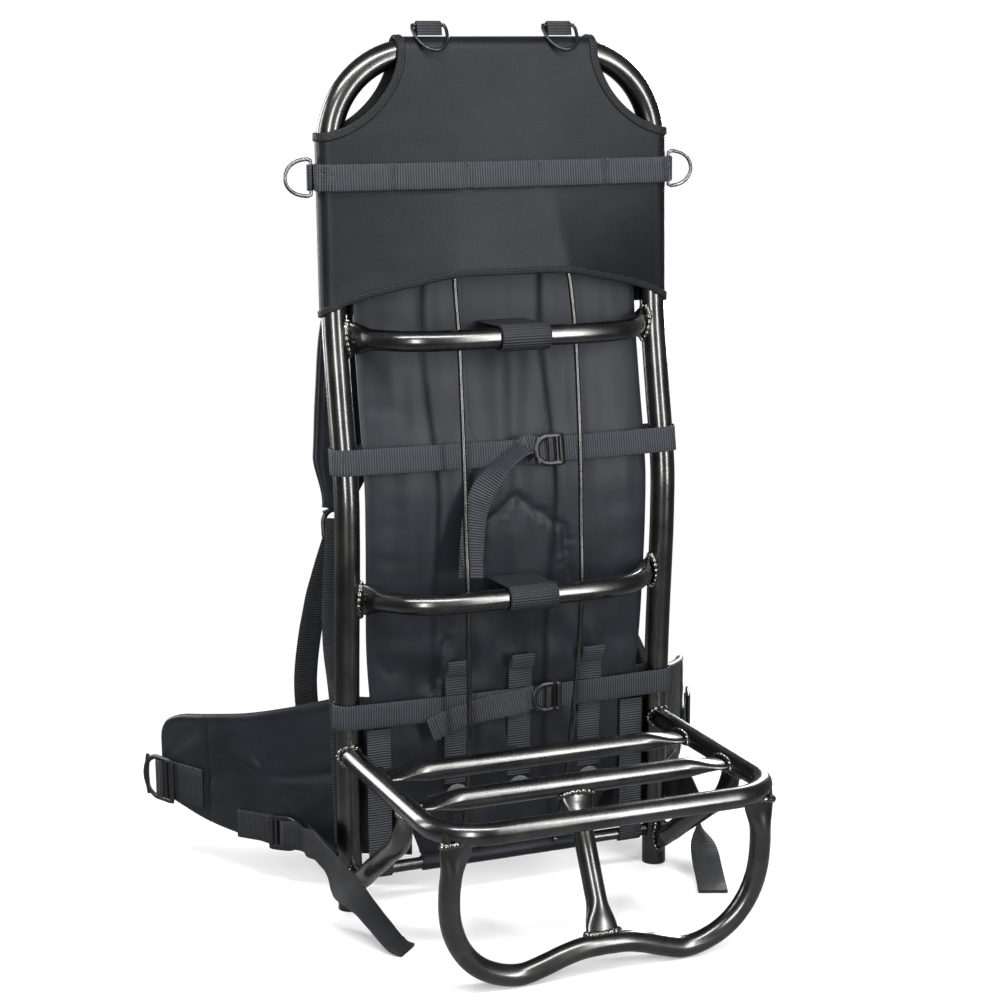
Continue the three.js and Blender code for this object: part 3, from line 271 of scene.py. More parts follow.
# Evenly spaced points of a centripetal curve through a few chosen ones
def curveThrough(points, steps):
    fine = []
    ends = [points[0] * 2 - points[1], *points, points[-1] * 2 - points[-2]]
    for p0, p1, p2, p3 in zip(ends, ends[1:], ends[2:], ends[3:]):
        d0, d1, d2 = [max((b - a).length, 1e-4) ** 0.5 for a, b in ((p0, p1), (p1, p2), (p2, p3))]
        t1 = ((p1 - p0) / d0 - (p2 - p0) / (d0 + d1) + (p2 - p1) / d1) * d1
        t2 = ((p2 - p1) / d1 - (p3 - p1) / (d1 + d2) + (p3 - p2) / d2) * d1
        for t in spaced(0, 1, 24)[:-1]:
            fine.append(p1 + t1 * t + (-3 * p1 + 3 * p2 - 2 * t1 - t2) * t * t
                        + (2 * p1 - 2 * p2 + t1 + t2) * t ** 3)
    fine.append(points[-1].copy())
    return evenly(fine, steps)


def runsOf(route):
    travelled = [0]
    for a, b in zip(route, route[1:]):
        travelled.append(travelled[-1] + (b - a).length)
    return travelled


def evenly(route, steps):
    travelled = runsOf(route)
    points, k = [], 0
    for goal in spaced(0, travelled[-1], steps):
        while k < len(route) - 2 and travelled[k + 1] < goal:
            k += 1
        share = (goal - travelled[k]) / max(travelled[k + 1] - travelled[k], 1e-6)
        points.append(route[k].lerp(route[k + 1], min(share, 1)))
    return points


# Corners of a polyline replaced by arcs
def rounded(corners, radius, steps):
    route = [corners[0].copy()]
    for before, corner, after in zip(corners, corners[1:], corners[2:]):
        into, out = (corner - before).normalized(), (after - corner).normalized()
        half = into.angle(out) / 2
        start = corner - into * radius * math.tan(half)
        centre = corner + (out - into).normalized() * radius / math.cos(half)
        axis = into.cross(out).normalized()
        for t in spaced(0, 2 * half, steps):
            route.append(centre + Matrix.Rotation(t, 3, axis) @ (start - centre))
    route.append(corners[-1].copy())
    return route


def tangents(route, closed=False):
    n = len(route)
    found = []
    for i in range(n):
        before = route[(i - 1) % n] if closed else route[max(i - 1, 0)]
        after = route[(i + 1) % n] if closed else route[min(i + 1, n - 1)]
        found.append((after - before).normalized())
    return found


# A place for each point: local Z runs along the route, local X lies along `across`, or local Y points
# along `outward`. Both may be one direction or one for each point.
def placesAlong(route, across=None, outward=None, closed=False):
    places = []
    for i, (point, run) in enumerate(zip(route, tangents(route, closed))):
        if outward is None:
            side = across[i] if isinstance(across, list) else across
            side = (side - run * side.dot(run)).normalized()
        else:
            side = (outward[i] if isinstance(outward, list) else outward).cross(run).normalized()
        turn = Matrix((side, run.cross(side), run)).transposed()
        places.append(Matrix.Translation(point) @ turn.to_4x4())
    return places


def circle(sides, size=1.0):
    return [(size * math.cos(t), size * math.sin(t)) for t in spaced(0, 2 * math.pi, sides)[:-1]]


def oval(width, thick):
    return [(x * width / 2, y * thick / 2) for x, y in circle(14)]


# Section of webbing, with soft edges
def tape(width, thick):
    a, b = width / 2, thick / 2
    edge = min(thick * 0.45, a * 0.3)
    half = [(a, 0), (a - edge * 0.35, b * 0.7), (a - edge, b), (a * 0.4, b), (-a * 0.4, b), (-a + edge, b),
            (-a + edge * 0.35, b * 0.7)]
    return half + [(-x, -y) for x, y in half]


# A closed section carried along the places. Layers keep how far it ran and where on its width it is.
def sweep(bm, places, section, closed=False, capped=True):
    run = bm.verts.layers.float.get("run") or bm.verts.layers.float.new("run")
    side = bm.verts.layers.float.get("side") or bm.verts.layers.float.new("side")
    ring = bmesh.ops.create_circle(bm, cap_ends=False, radius=1, segments=len(section))["verts"]
    for vert, (x, y) in zip(ring, section):
        vert.co = (x, y, 0)
        vert[side] = x
    bmesh.ops.transform(bm, matrix=places[0], verts=ring)
    first = list({edge for vert in ring for edge in vert.link_edges})
    edges, travelled = first, 0
    for here, there in zip(places, places[1:]):
        travelled += (there.translation - here.translation).length
        added = bmesh.ops.extrude_edge_only(bm, edges=edges)["geom"]
        ring = [g for g in added if isinstance(g, bmesh.types.BMVert)]
        held = set(ring)
        edges = [g for g in added if isinstance(g, bmesh.types.BMEdge) and held.issuperset(g.verts)]
        bmesh.ops.transform(bm, matrix=there @ here.inverted(), verts=ring)
        for vert in ring:
            vert[run] = travelled
    if closed:
        bmesh.ops.bridge_loops(bm, edges=first + edges)
    elif capped:
        for rim in (first, edges):
            bmesh.ops.contextual_create(bm, geom=rim)


# Places whose sections grow or shrink across the run
def grown(places, sizes):
    return [place @ Matrix.Diagonal((*size, 1, 1)) for place, size in zip(places, sizes)]


# Adds the finished mesh as a piece that rides on the frame; it stands for the CAD nodes named
def addPiece(name, bm, material, nodes=(), sharp=40):
    bmesh.ops.recalc_face_normals(bm, faces=bm.faces)
    bmesh.ops.transform(bm, matrix=toRow, verts=bm.verts)
    run, side = bm.verts.layers.float.get("run"), bm.verts.layers.float.get("side")
    if run:
        weave = bm.loops.layers.uv.new("weave")
        for face in bm.faces:
            for loop in face.loops:
                loop[weave].uv = (loop.vert[side], loop.vert[run])
    mesh = bpy.data.meshes.new(name)
    bm.to_mesh(mesh)
    bm.free()
    mesh.shade_smooth()
    mesh.set_sharp_from_angle(angle=math.radians(sharp))
    mesh.materials.append(material)
    piece = bpy.data.objects.new(name, mesh)
    bpy.context.scene.collection.objects.link(piece)
    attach(piece, "root")
    if nodes:
        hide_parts(*nodes)
    return piece


# Camera where the photo was taken from, then floor, world and lights
cameraSet = {"place": (-798.4, -1961.2, 822.5), "azimuth": -22.05, "elevation": 11.26, "roll": -0.4,
             "lens": 78.5, "sensor": 36}
cameraData = bpy.data.cameras.new("camera")
cameraData.lens = cameraSet["lens"]
cameraData.sensor_width = cameraSet["sensor"]
camera = bpy.data.objects.new("camera", cameraData)
bpy.context.scene.collection.objects.link(camera)
turned = (Matrix.Rotation(math.radians(cameraSet["azimuth"]), 4, "Z")
          @ Matrix.Rotation(math.radians(90 - cameraSet["elevation"]), 4, "X")
          @ Matrix.Rotation(math.radians(cameraSet["roll"]), 4, "Z"))
camera.matrix_world = Matrix.Translation(toRow @ Vector(cameraSet["place"])) @ turned
bpy.context.scene.camera = camera
bpy.context.scene.view_settings.view_transform = "Standard"


room = {
    "floor": 4,  # metres
    "tone": 0.88, "returned": 0.22,  # the floor's white, seen and as it lights the frame
    "fadeFrom": 0.36, "fadeTo": 0.85,  # metres from the floor's middle
    "shown": 1.0, "dim": 0.14,  # the white room, seen and as it lights the frame
}


def studio():
    bm = bmesh.new()
    bmesh.ops.create_grid(bm, x_segments=1, y_segments=1, size=room["floor"] / 2)
    mesh = bpy.data.meshes.new("floor")
    bm.to_mesh(mesh)
    bm.free()
    floor = bpy.data.objects.new("floor", mesh)
    bpy.context.scene.collection.objects.link(floor)
    material, tree, shader = newMaterial("matt white paint", {"Roughness": 0.95})
    mesh.materials.append(material)
    seen = addNode(tree, "ShaderNodeLightPath").outputs["Is Camera Ray"]
    limits = {"To Min": room["returned"], "To Max": room["tone"]}
    tone = addNode(tree, "ShaderNodeMapRange", limits, Value=seen)
    tree.links.new(tone.outputs[0], shader.inputs["Base Color"])
    # The floor fades into the white room round it
    place = addNode(tree, "ShaderNodeTexCoord").outputs["Object"]
    away = addNode(tree, "ShaderNodeVectorMath", {"operation": "LENGTH"}, n0=place)
    limits = {"From Min": room["fadeFrom"], "From Max": room["fadeTo"], "To Min": 1, "To Max": 0}
    kept = addNode(tree, "ShaderNodeMapRange", limits, Value=away.outputs["Value"])
    tree.links.new(kept.outputs[0], shader.inputs["Alpha"])
    world = bpy.data.worlds.new("studio")
    bpy.context.scene.world = world
    world.use_nodes = True
    tree = world.node_tree
    tree.nodes.clear()
    seen = addNode(tree, "ShaderNodeLightPath").outputs["Is Camera Ray"]
    limits = {"To Min": room["dim"], "To Max": room["shown"]}
    strength = addNode(tree, "ShaderNodeMapRange", limits, Value=seen)
    sky = addNode(tree, "ShaderNodeBackground", {"Color": (1, 1, 1, 1)}, Strength=strength.outputs[0])
    addNode(tree, "ShaderNodeOutputWorld", Surface=sky.outputs[0])


# Soft boxes, each set round the frame: angle from the camera's direction, distance, height of its
# middle, width and height in metres, and how bright its face is. The rear two serve the back.
softBoxes = {
    "keyStrip": {"angle": -8, "distance": 2.6, "height": 1.0, "size": (0.42, 1.7), "bright": 24},
    "sideStrip": {"angle": 46, "distance": 1.9, "height": 1.05, "size": (0.26, 1.9), "bright": 26},
    "overhead": {"angle": 0, "distance": 0.95, "height": 1.95, "size": (2.2, 0.3), "bright": 26},
    "leftFill": {"angle": -95, "distance": 2.4, "height": 1.1, "size": (0.5, 1.6), "bright": 12},
    "rearStrip": {"angle": 158, "distance": 2.5, "height": 1.15, "size": (0.6, 1.7), "bright": 20},
    "rearFill": {"angle": -128, "distance": 2.4, "height": 1.0, "size": (0.8, 1.5), "bright": 9},
}


aimZ = 470


def addSoftBoxes():
    aim = toRow @ Vector((0, 0, aimZ))
    for name, box in softBoxes.items():
        turn = math.radians(cameraSet["azimuth"] + box["angle"])
        place = Vector((math.sin(turn), -math.cos(turn), 0)) * box["distance"]
        place = Vector((aim.x + place.x, aim.y + place.y, box["height"]))
        data = bpy.data.lights.new(name, "AREA")
        data.shape = "RECTANGLE"
        data.size, data.size_y = box["size"]
        data.energy = box["bright"] * math.pi * data.size * data.size_y
        light = bpy.data.objects.new(name, data)
        bpy.context.scene.collection.objects.link(light)
        facing = (place - aim) if name == "overhead" else Vector((place.x - aim.x, place.y - aim.y, 0))
        light.matrix_world = Matrix.Translation(place) @ facing.to_track_quat("Z", "Y").to_matrix().to_4x4()


studio()
addSoftBoxes()
print("camera, floor and lights set")


# Welded frame

tubing = {
    "width": 360, "height": 849, "dia": 24.6, "wall": 1.8, "hollow": 40, "corner": 87, "sweep": 17.7,
    "sides": 32,
    "spine": [  # share of the height, share of the sweep
        (0, 0), (0.177, 0), (0.235, -0.1), (0.294, -0.24), (0.34, -0.4), (0.389, -0.6), (0.42, -0.71),
        (0.448, -0.77), (0.495, -0.79), (0.54, -0.5), (0.589, -0.05), (0.63, 0.3), (0.67, 0.62),
        (0.707, 0.8), (0.754, 0.84), (0.85, 0.93), (0.989, 1), (1, 1)],
}
tubeRadius = tubing["dia"] / 2
halfGauge = tubing["width"] / 2 - tubeRadius
topZ = tubing["height"] - tubeRadius


def spine(z):
    return follow(tubing["spine"], z / tubing["height"]) * tubing["sweep"]


def mainTube():
    bend = topZ - tubing["corner"]
    half = [Vector((halfGauge, spine(z), z)) for z in spaced(0, bend, 64)]
    for turn in spaced(0, math.pi / 2, 20)[1:]:
        z = bend + tubing["corner"] * math.sin(turn)
        half.append(Vector((halfGauge - tubing["corner"] * (1 - math.cos(turn)), spine(z), z)))
    route = mirrored(half, -1) + half[::-1]
    bm = bmesh.new()
    sweep(bm, placesAlong(route, across=back), circle(tubing["sides"], tubeRadius))
    hollow = Matrix.Translation((0, 0, tubing["hollow"]))
    feet = [face for face in bm.faces if len(face.verts) == tubing["sides"]]
    for foot in feet:  # open ends
        bmesh.ops.inset_individual(bm, faces=[foot], thickness=tubing["wall"])
        inner = bmesh.ops.extrude_discrete_faces(bm, faces=[foot])["faces"][0]
        bmesh.ops.transform(bm, matrix=hollow, verts=inner.verts[:])
    addPiece("bent_main_tube", bm, tubeMetal, ["main_tube"])


bars = {"dia": 20, "sides": 28, "lipWide": 32, "lipThin": 8, "lipLength": 42, "sideLipWide": 30,
        "sideLipThin": 10}
barRadius = bars["dia"] / 2


# A round bar whose ends are pressed flat: half sizes of the lip along `across` and beside it, and its
# length
def pressedBar(bm, route, across, lip):
    travelled = runsOf(route)
    sizes = []
    for t in travelled:
        k = smoothstep(min(t, travelled[-1] - t), lip[2] * 0.3, lip[2])
        sizes.append((mix(lip[0], barRadius, k), mix(lip[1], barRadius, k)))
    sweep(bm, grown(placesAlong(route, across=across), sizes), circle(bars["sides"]))


# A weld bead round an oval joint: `onto` moves each of its points to the skin that it lies on
weld = {"size": 2.9, "flat": 0.8, "ripple": 0.17, "waver": 0.12, "pitch": 4, "grow": 0.9}


def weldBead(bm, centre, axisA, axisB, halfA, halfB, onto):
    halfA, halfB = halfA + weld["grow"], halfB + weld["grow"]
    path = [onto(centre + axisA * halfA * math.cos(t) + axisB * halfB * math.sin(t))
            for t in spaced(0, 2 * math.pi, 72)[:-1]]
    middle = sum(path, Vector()) / len(path)
    length = runsOf(path + [path[0]])[-1]
    ripples = round(length / weld["pitch"])
    places = placesAlong(path, outward=[p - middle for p in path], closed=True)
    sizes = []
    for i in range(len(path)):
        size = weld["size"] * (1 + weld["ripple"] * math.sin(2 * math.pi * ripples * i / len(path))
                               + weld["waver"] * math.sin(5 * i / len(path) * math.pi))
        sizes.append((size, size * weld["flat"]))
    sweep(bm, grown(places, sizes), circle(10), closed=True)


def ontoUpright(side):  # inner flank of the upright
    def onto(p):
        away = min(abs(p.y - spine(p.z)), tubeRadius * 0.98)
        return Vector((side * (halfGauge - math.sqrt(tubeRadius ** 2 - away ** 2)), p.y, p.z))
    return onto


crossbars = {
    "upper": {"z": 569, "bow": 62},
    "lower": {"z": 318, "bow": 58},
}
# Share of the bow against share of the half gauge
bowRows = [(0, 1), (0.36, 1), (0.5, 0.97), (0.6, 0.91), (0.7, 0.76), (0.8, 0.45), (0.9, 0.1), (1, 0)]


def crossbarY(name, x):
    bar = crossbars[name]
    return spine(bar["z"]) - bar["bow"] * follow(bowRows, abs(x) / halfGauge)


def crossbar(name):
    z = crossbars[name]["z"]
    route = [Vector((x, crossbarY(name, x), z)) for x in spaced(-halfGauge, halfGauge, 72)]
    bm = bmesh.new()
    pressedBar(bm, route, up, (bars["lipWide"] / 2, bars["lipThin"] / 2, bars["lipLength"]))
    addPiece(f"{name}_crossbar", bm, tubeMetal, [f"crossbar_{name}"])
    bm = bmesh.new()
    for _, side in sides:
        x = side * (halfGauge - tubeRadius)
        centre = Vector((x, crossbarY(name, x), z))
        weldBead(bm, centre, up, back, bars["lipWide"] / 2, bars["lipThin"] / 2 + 1, ontoUpright(side))
    addPiece(f"{name}_crossbar_welds", bm, beadMetal)


rods = {
    "dia": 5, "spacing": 120,
    "spread": [(0.05, 0.86), (0.2, 0.92), (0.37, 1), (0.72, 1), (0.76, 0.94), (0.82, 0.83), (0.88, 0.74),
               (1, 0.66)],  # share of the height, share of half the spacing
    "crossWeld": (5.2, 2.6, 3.4), "endWeld": (3.6, 3.4, 3.6),
}
bottomBar = {"dia": 12, "sleeve": 1.6}
rodRadius = rods["dia"] / 2
sleeveRadius = bottomBar["dia"] / 2 + touching + bottomBar["sleeve"]
rodBehind = barRadius + rodRadius + touching
rodAtUpper = crossbarY("upper", rods["spacing"] / 2) + rodBehind
rodAtLower = crossbarY("lower", rods["spacing"] / 2) + rodBehind
rodFoot = (sleeveRadius + rodRadius + touching + 0.2) * math.sqrt(0.5)
rodHead = (tubeRadius + rodRadius + touching) * math.sqrt(0.5)
rodLine = sorted([
    (bottomBarZ + rodFoot, -rodFoot),
    (0.1 * tubing["height"], 0.4 * rodAtLower),
    (0.155 * tubing["height"], 0.63 * rodAtLower),
    (0.26 * tubing["height"], 0.87 * rodAtLower),
    (crossbars["lower"]["z"], rodAtLower),
    (0.45 * tubing["height"], 1.35 * rodAtUpper),
    (0.525 * tubing["height"], 1.3 * rodAtUpper),
    (0.6 * tubing["height"], 1.17 * rodAtUpper),
    (crossbars["upper"]["z"], rodAtUpper),
    (0.733 * tubing["height"], 0.68 * rodAtUpper),
    (0.785 * tubing["height"], 0.38 * rodAtUpper),
    (0.835 * tubing["height"], 0.12 * rodAtUpper),
    (0.885 * tubing["height"], -0.03 * rodAtUpper),
    (topZ - rodHead, spine(topZ) - rodHead),
])


def rodX(z):
    return follow(rods["spread"], z / tubing["height"]) * rods["spacing"] / 2


def rodY(z):
    return follow(rodLine, z)


def rod(name, side):
    bm = bmesh.new()
    route = [Vector((rodX(z) * side, rodY(z), z)) for z in spaced(rodLine[0][0], rodLine[-1][0], 90)]
    sweep(bm, placesAlong(route, across=right), circle(14, rodRadius))
    addPiece(f"{name}_rod", bm, tubeMetal, [f"rod_{name}"])
    bm = bmesh.new()  # a spot of weld at each crossing
    spots = []
    for bar in crossbars.values():
        z = bar["z"]
        place = Vector((rodX(z) * side, rodY(z) - rodRadius, z + barRadius * 0.55))
        spots.append((place, rods["crossWeld"]))
    for z in (rodLine[0][0], rodLine[-1][0]):
        spots.append((Vector((rodX(z) * side, rodY(z), z)), rods["endWeld"]))
    for place, size in spots:
        spot = Matrix.Translation(place) @ Matrix.Diagonal((*size, 1))
        bmesh.ops.create_icosphere(bm, subdivisions=2, radius=1, matrix=spot)
    addPiece(f"{name}_rod_welds", bm, beadMetal)


shelf = {"z": 160, "depth": 267, "corner": 50, "rear": 80, "front": 170}


def railX(y):  # half width of the rail's centreline at a depth
    start = -shelf["depth"] + shelf["corner"]
    if y > start:
        return halfGauge
    return halfGauge - shelf["corner"] + math.sqrt(max(shelf["corner"] ** 2 - (start - y) ** 2, 0))


def ontoSide(side):  # inner flank of the rail
    def onto(p):
        away = min(abs(p.z - shelf["z"]), barRadius * 0.98)
        return Vector((side * (railX(p.y) - math.sqrt(barRadius ** 2 - away ** 2)), p.y, p.z))
    return onto


def shelfParts():
    z = shelf["z"]
    corners = [Vector(p) for p in ((-halfGauge, 0, z), (-halfGauge, -shelf["depth"], z),
                                   (halfGauge, -shelf["depth"], z), (halfGauge, 0, z))]
    route = rounded(corners, shelf["corner"], 18)
    bm = bmesh.new()
    sweep(bm, placesAlong(route, across=up), circle(bars["sides"], barRadius))
    addPiece("bent_shelf_rail", bm, tubeMetal, ["shelf_rail"])
    beads = bmesh.new()
    for _, side in sides:
        def onto(p):
            away = min(abs(abs(p.x) - halfGauge), tubeRadius * 0.98)
            return Vector((p.x, -math.sqrt(tubeRadius ** 2 - away ** 2), p.z))
        weldBead(beads, Vector((side * halfGauge, -tubeRadius, z)), right, up, barRadius, barRadius, onto)
    for name, forward in (("rear", shelf["rear"]), ("front", shelf["front"])):
        bm = bmesh.new()
        route = [Vector((x, -forward, z)) for x in spaced(-halfGauge, halfGauge, 90)]
        pressedBar(bm, route, up, (bars["lipThin"] / 2, bars["lipWide"] / 2, bars["lipLength"] * 1.3))
        addPiece(f"{name}_shelf_bar", bm, tubeMetal, [f"shelf_bar_{name}"])
        for _, side in sides:
            centre = Vector((side * (halfGauge - barRadius), -forward, z))
            weldBead(beads, centre, back, up, bars["lipWide"] / 2, bars["lipThin"] / 2, ontoSide(side))
    addPiece("shelf_welds", beads, beadMetal)


stand = {
    "width": 312, "lean": 19, "dip": 17,
    "rows": [  # share of half the width, share of the height under the shelf, from weld to middle
        (0.955, 1), (0.965, 0.93), (0.985, 0.8), (1, 0.6), (0.985, 0.42), (0.925, 0.25), (0.82, 0.115),
        (0.68, 0.03), (0.53, 0), (0.4, 0.03), (0.27, 0.075), (0.15, 0.105)],
}
standTopX = stand["rows"][0][0] * stand["width"] / 2
standTopY = -shelf["depth"] + shelf["corner"] - math.sqrt(
    max(shelf["corner"] ** 2 - max(standTopX - halfGauge + shelf["corner"], 0) ** 2, 0))


def standY(z):
    return standTopY + stand["lean"] * (shelf["z"] - z) / shelf["z"]


def standZ(share):
    return barRadius + share * (shelf["z"] - barRadius)


def standParts():
    half = [Vector((x * stand["width"] / 2, standY(standZ(h)), standZ(h))) for x, h in stand["rows"]]
    dip = barRadius + stand["dip"]
    curve = curveThrough([*half, Vector((0, standY(dip), dip))], 60)
    bm = bmesh.new()
    lip = (bars["sideLipThin"] / 2, bars["sideLipWide"] / 2, bars["lipLength"])
    pressedBar(bm, mirrored(curve[:-1], -1) + curve[::-1], back, lip)
    addPiece("bent_stand_loop", bm, tubeMetal, ["stand_loop"])
    beads = bmesh.new()

    def underRail(p):
        away = min(abs(p.y - standTopY), barRadius * 0.98)
        return Vector((p.x, p.y, shelf["z"] - math.sqrt(barRadius ** 2 - away ** 2)))
    for _, side in sides:
        centre = Vector((side * standTopX, standTopY, shelf["z"] - barRadius))
        weldBead(beads, centre, right, back, lip[1], lip[0] + 1, underRail)
    top = Vector((0, -shelf["front"], shelf["z"]))
    foot = Vector((0, standY(dip), dip))
    bm = bmesh.new()
    strutLip = (bars["lipWide"] / 2, bars["lipThin"] / 2, bars["lipLength"])
    pressedBar(bm, evenly([top, foot], 40), right, strutLip)
    addPiece("pressed_stand_strut", bm, tubeMetal, ["stand_strut"])
    run = (foot - top).normalized()
    flat = run.cross(right)

    def near(end, sign):
        def onto(p):
            away = min(abs((p - end).dot(flat)), barRadius * 0.98)
            return p + run * (end + run * sign * math.sqrt(barRadius ** 2 - away ** 2) - p).dot(run)
        return onto
    for end, sign in ((top, 1), (foot, -1)):
        weldBead(beads, end, right, flat, strutLip[0], strutLip[1], near(end, sign))
    addPiece("stand_welds", beads, beadMetal)


braces = {
    "footZ": 32,
    "rows": [  # share of the distance in front of the upright, share of the height to the shelf
        (1, 1), (0.975, 0.84), (0.9, 0.69), (0.69, 0.5), (0.4, 0.25), (0.2, 0.08), (0, 0)],
}


def brace(name, side):
    rise = shelf["z"] - braces["footZ"]
    points = [Vector((side * halfGauge, -y * shelf["front"], braces["footZ"] + h * rise))
              for y, h in braces["rows"]]
    bm = bmesh.new()
    lip = (bars["sideLipThin"] / 2, bars["lipWide"] / 2, bars["lipLength"])
    pressedBar(bm, curveThrough(points, 60), right, lip)
    addPiece(f"bent_{name}_brace", bm, tubeMetal, [f"brace_{name}"])
    beads = bmesh.new()

    def underRail(p):
        away = min(abs(abs(p.x) - halfGauge), barRadius * 0.98)
        return Vector((p.x, p.y, shelf["z"] - math.sqrt(barRadius ** 2 - away ** 2)))

    def beforeUpright(p):
        away = min(abs(abs(p.x) - halfGauge), tubeRadius * 0.98)
        return Vector((p.x, -math.sqrt(tubeRadius ** 2 - away ** 2), p.z))
    weldBead(beads, points[0] - up * barRadius, back, right, lip[1], lip[0], underRail)
    weldBead(beads, points[-1], up, right, lip[1] - 1, lip[0], beforeUpright)
    addPiece(f"{name}_brace_welds", beads, beadMetal)


def crossTube():
    bm = bmesh.new()
    route = [Vector((x, 0, bottomBarZ)) for x in spaced(-halfGauge, halfGauge, 2)]
    sweep(bm, placesAlong(route, across=up), circle(24, bottomBar["dia"] / 2))
    addPiece("lower_cross_tube", bm, tubeMetal, ["bottom_bar"])


mainTube()
for barName in crossbars:
    crossbar(barName)
for sideName, sideSign in sides:
    rod(sideName, sideSign)
    brace(sideName, sideSign)
shelfParts()
standParts()
crossTube()
print("welded frame made")


# Helpers for cloth

# A grid of points given by at(u, v), both from 0 to 1
def shapedGrid(bm, across, along, at):
    made = bmesh.ops.create_grid(bm, x_segments=across, y_segments=along, size=1)["verts"]
    for vert in made:
        vert.co = at((vert.co.x + 1) / 2, (vert.co.y + 1) / 2)


# Flat webbing along a route, slightly uneven as woven tape is
def strap(bm, route, width, across=None, outward=None, thick=1.6, uneven=0.3):
    places = placesAlong(route, across=across, outward=outward)
    last = len(places) - 1
    for i, place in enumerate(places):
        lift = uneven * noise.noise(place.translation * 0.06) * math.sin(math.pi * i / last)
        places[i] = place @ Matrix.Translation((0, lift, 0))
    sweep(bm, places, tape(width, thick))


# Short raised stitches along a route
stitching = {"pitch": 3.4, "length": 2.2, "wide": 0.8}
anyAcross = Vector((0.31, 0.17, 0.94))  # a round stitch may turn as it likes about its run


def stitches(bm, route):
    steps = max(round(runsOf(route)[-1] / stitching["pitch"]), 2)
    size = Matrix.Diagonal((stitching["wide"] / 2, stitching["wide"] / 2, stitching["length"] / 2, 1))
    for place in placesAlong(evenly(route, steps), across=anyAcross):
        bmesh.ops.create_icosphere(bm, subdivisions=1, radius=1, matrix=place @ size)


# Fabric panel: a sleeve over the top of the frame, cut away round its two corners

panel = {
    "fabric": 1.6, "hem": 590, "arch": 37, "shoulder": 761, "topHalf": 101.5, "power": 1.75,
    "rows": 44, "columns": 80, "innerShare": 0.45, "turns": 12,
    "binding": 8.5, "bindingThick": 3.4, "hemBinding": 6.5, "hemThick": 3, "drag": 0.7, "slack": 0.8,
    "hemRows": [(0, 1), (0.35, 0.98), (0.58, 0.77), (0.76, 0.6), (0.96, 0.32), (1.05, 0.12), (1.3, 0)],
}


def clearOf(radius, wall):
    return (radius + touching) / math.cos(math.pi / 16) + wall / 2


wrapRadius = clearOf(tubeRadius, panel["fabric"])


def hemZ(x):
    return panel["hem"] + follow(panel["hemRows"], abs(x) / halfGauge) * panel["arch"]


def scoopZ(x):
    share = (x - panel["topHalf"]) / (tubing["width"] / 2 - panel["topHalf"])
    share = min(max(share, 0), 1)
    fall = 1 - (1 - (1 - share) ** panel["power"]) ** (1 / panel["power"])
    return panel["shoulder"] + fall * (topZ - panel["shoulder"])


def topOf(x):
    return topZ if abs(x) <= panel["topHalf"] else scoopZ(abs(x))


# Depth of the front ply: on the uprights at the sides, pushed out by the rods, with slight drag lines
def panelY(x, z):
    crease = rodX(z)
    atRod = min(rodY(z) - rodRadius - 2 * touching - panel["fabric"] / 2, spine(topZ) - wrapRadius)
    away = max(abs(x) - crease, 0) / (halfGauge - crease)
    y = mix(atRod, spine(z) - wrapRadius, min(away, 1))
    drag = noise.noise(Vector((x * 0.012, z * 0.045, 3))) * math.sin(math.pi * min(away, 1) ** 0.8)
    return mix(y - panel["drag"] * abs(drag), spine(topZ) - wrapRadius, smoothstep(z, topZ - 14, topZ))


def panelColumn(u):  # columns gather where the cut begins
    s = 2 * u - 1
    inner = panel["innerShare"]
    if abs(s) <= inner:
        return s / inner * panel["topHalf"]
    share = (abs(s) - inner) / (1 - inner)
    return math.copysign(panel["topHalf"] + share ** 1.7 * (halfGauge - panel["topHalf"]), s)


def onWrap(side, turn, z, off=0):
    radius = wrapRadius + off
    return Vector((side * (halfGauge + radius * math.sin(turn)), spine(z) - radius * math.cos(turn), z))


def wrapHem(turn):
    x = halfGauge + 2 * wrapRadius * turn / math.pi
    return mix(hemZ(x), panel["hem"], smoothstep(turn, 0.8, math.pi / 2))


def topPanel():
    bm = bmesh.new()
    rows, inner = panel["rows"], round(panel["columns"] * panel["innerShare"])

    def front(u, v):
        x = panelColumn(u)
        z = mix(hemZ(x), topOf(x), v)
        return Vector((x, panelY(x, z), z))

    def rear(u, v):
        x = panelColumn(u)
        z = mix(panel["hem"], topOf(x), v)
        slack = panel["slack"] * noise.noise(Vector((x * 0.02, z * 0.02, 9)))
        return Vector((x, spine(z) + wrapRadius + abs(slack), z))

    def roof(u, v):
        turn = math.pi * v
        y = spine(topZ) - wrapRadius * math.cos(turn)
        return Vector(((2 * u - 1) * panel["topHalf"], y, topZ + wrapRadius * math.sin(turn)))
    shapedGrid(bm, panel["columns"], rows, front)
    shapedGrid(bm, panel["columns"], rows, rear)
    shapedGrid(bm, inner, panel["turns"], roof)
    for _, side in sides:
        def wrap(u, v):
            turn = math.pi * u
            return onWrap(side, turn, mix(wrapHem(turn), scoopZ(halfGauge + wrapRadius * math.sin(turn)), v))
        shapedGrid(bm, panel["turns"], rows, wrap)
    bmesh.ops.remove_doubles(bm, verts=bm.verts, dist=0.06)
    bmesh.ops.recalc_face_normals(bm, faces=bm.faces)
    area = sum(face.calc_area() for face in bm.faces) / 1e6
    bmesh.ops.solidify(bm, geom=bm.faces[:], thickness=panel["fabric"])
    piece = addPiece("panel_cloth", bm, panelNylon, ["top_panel"], sharp=50)


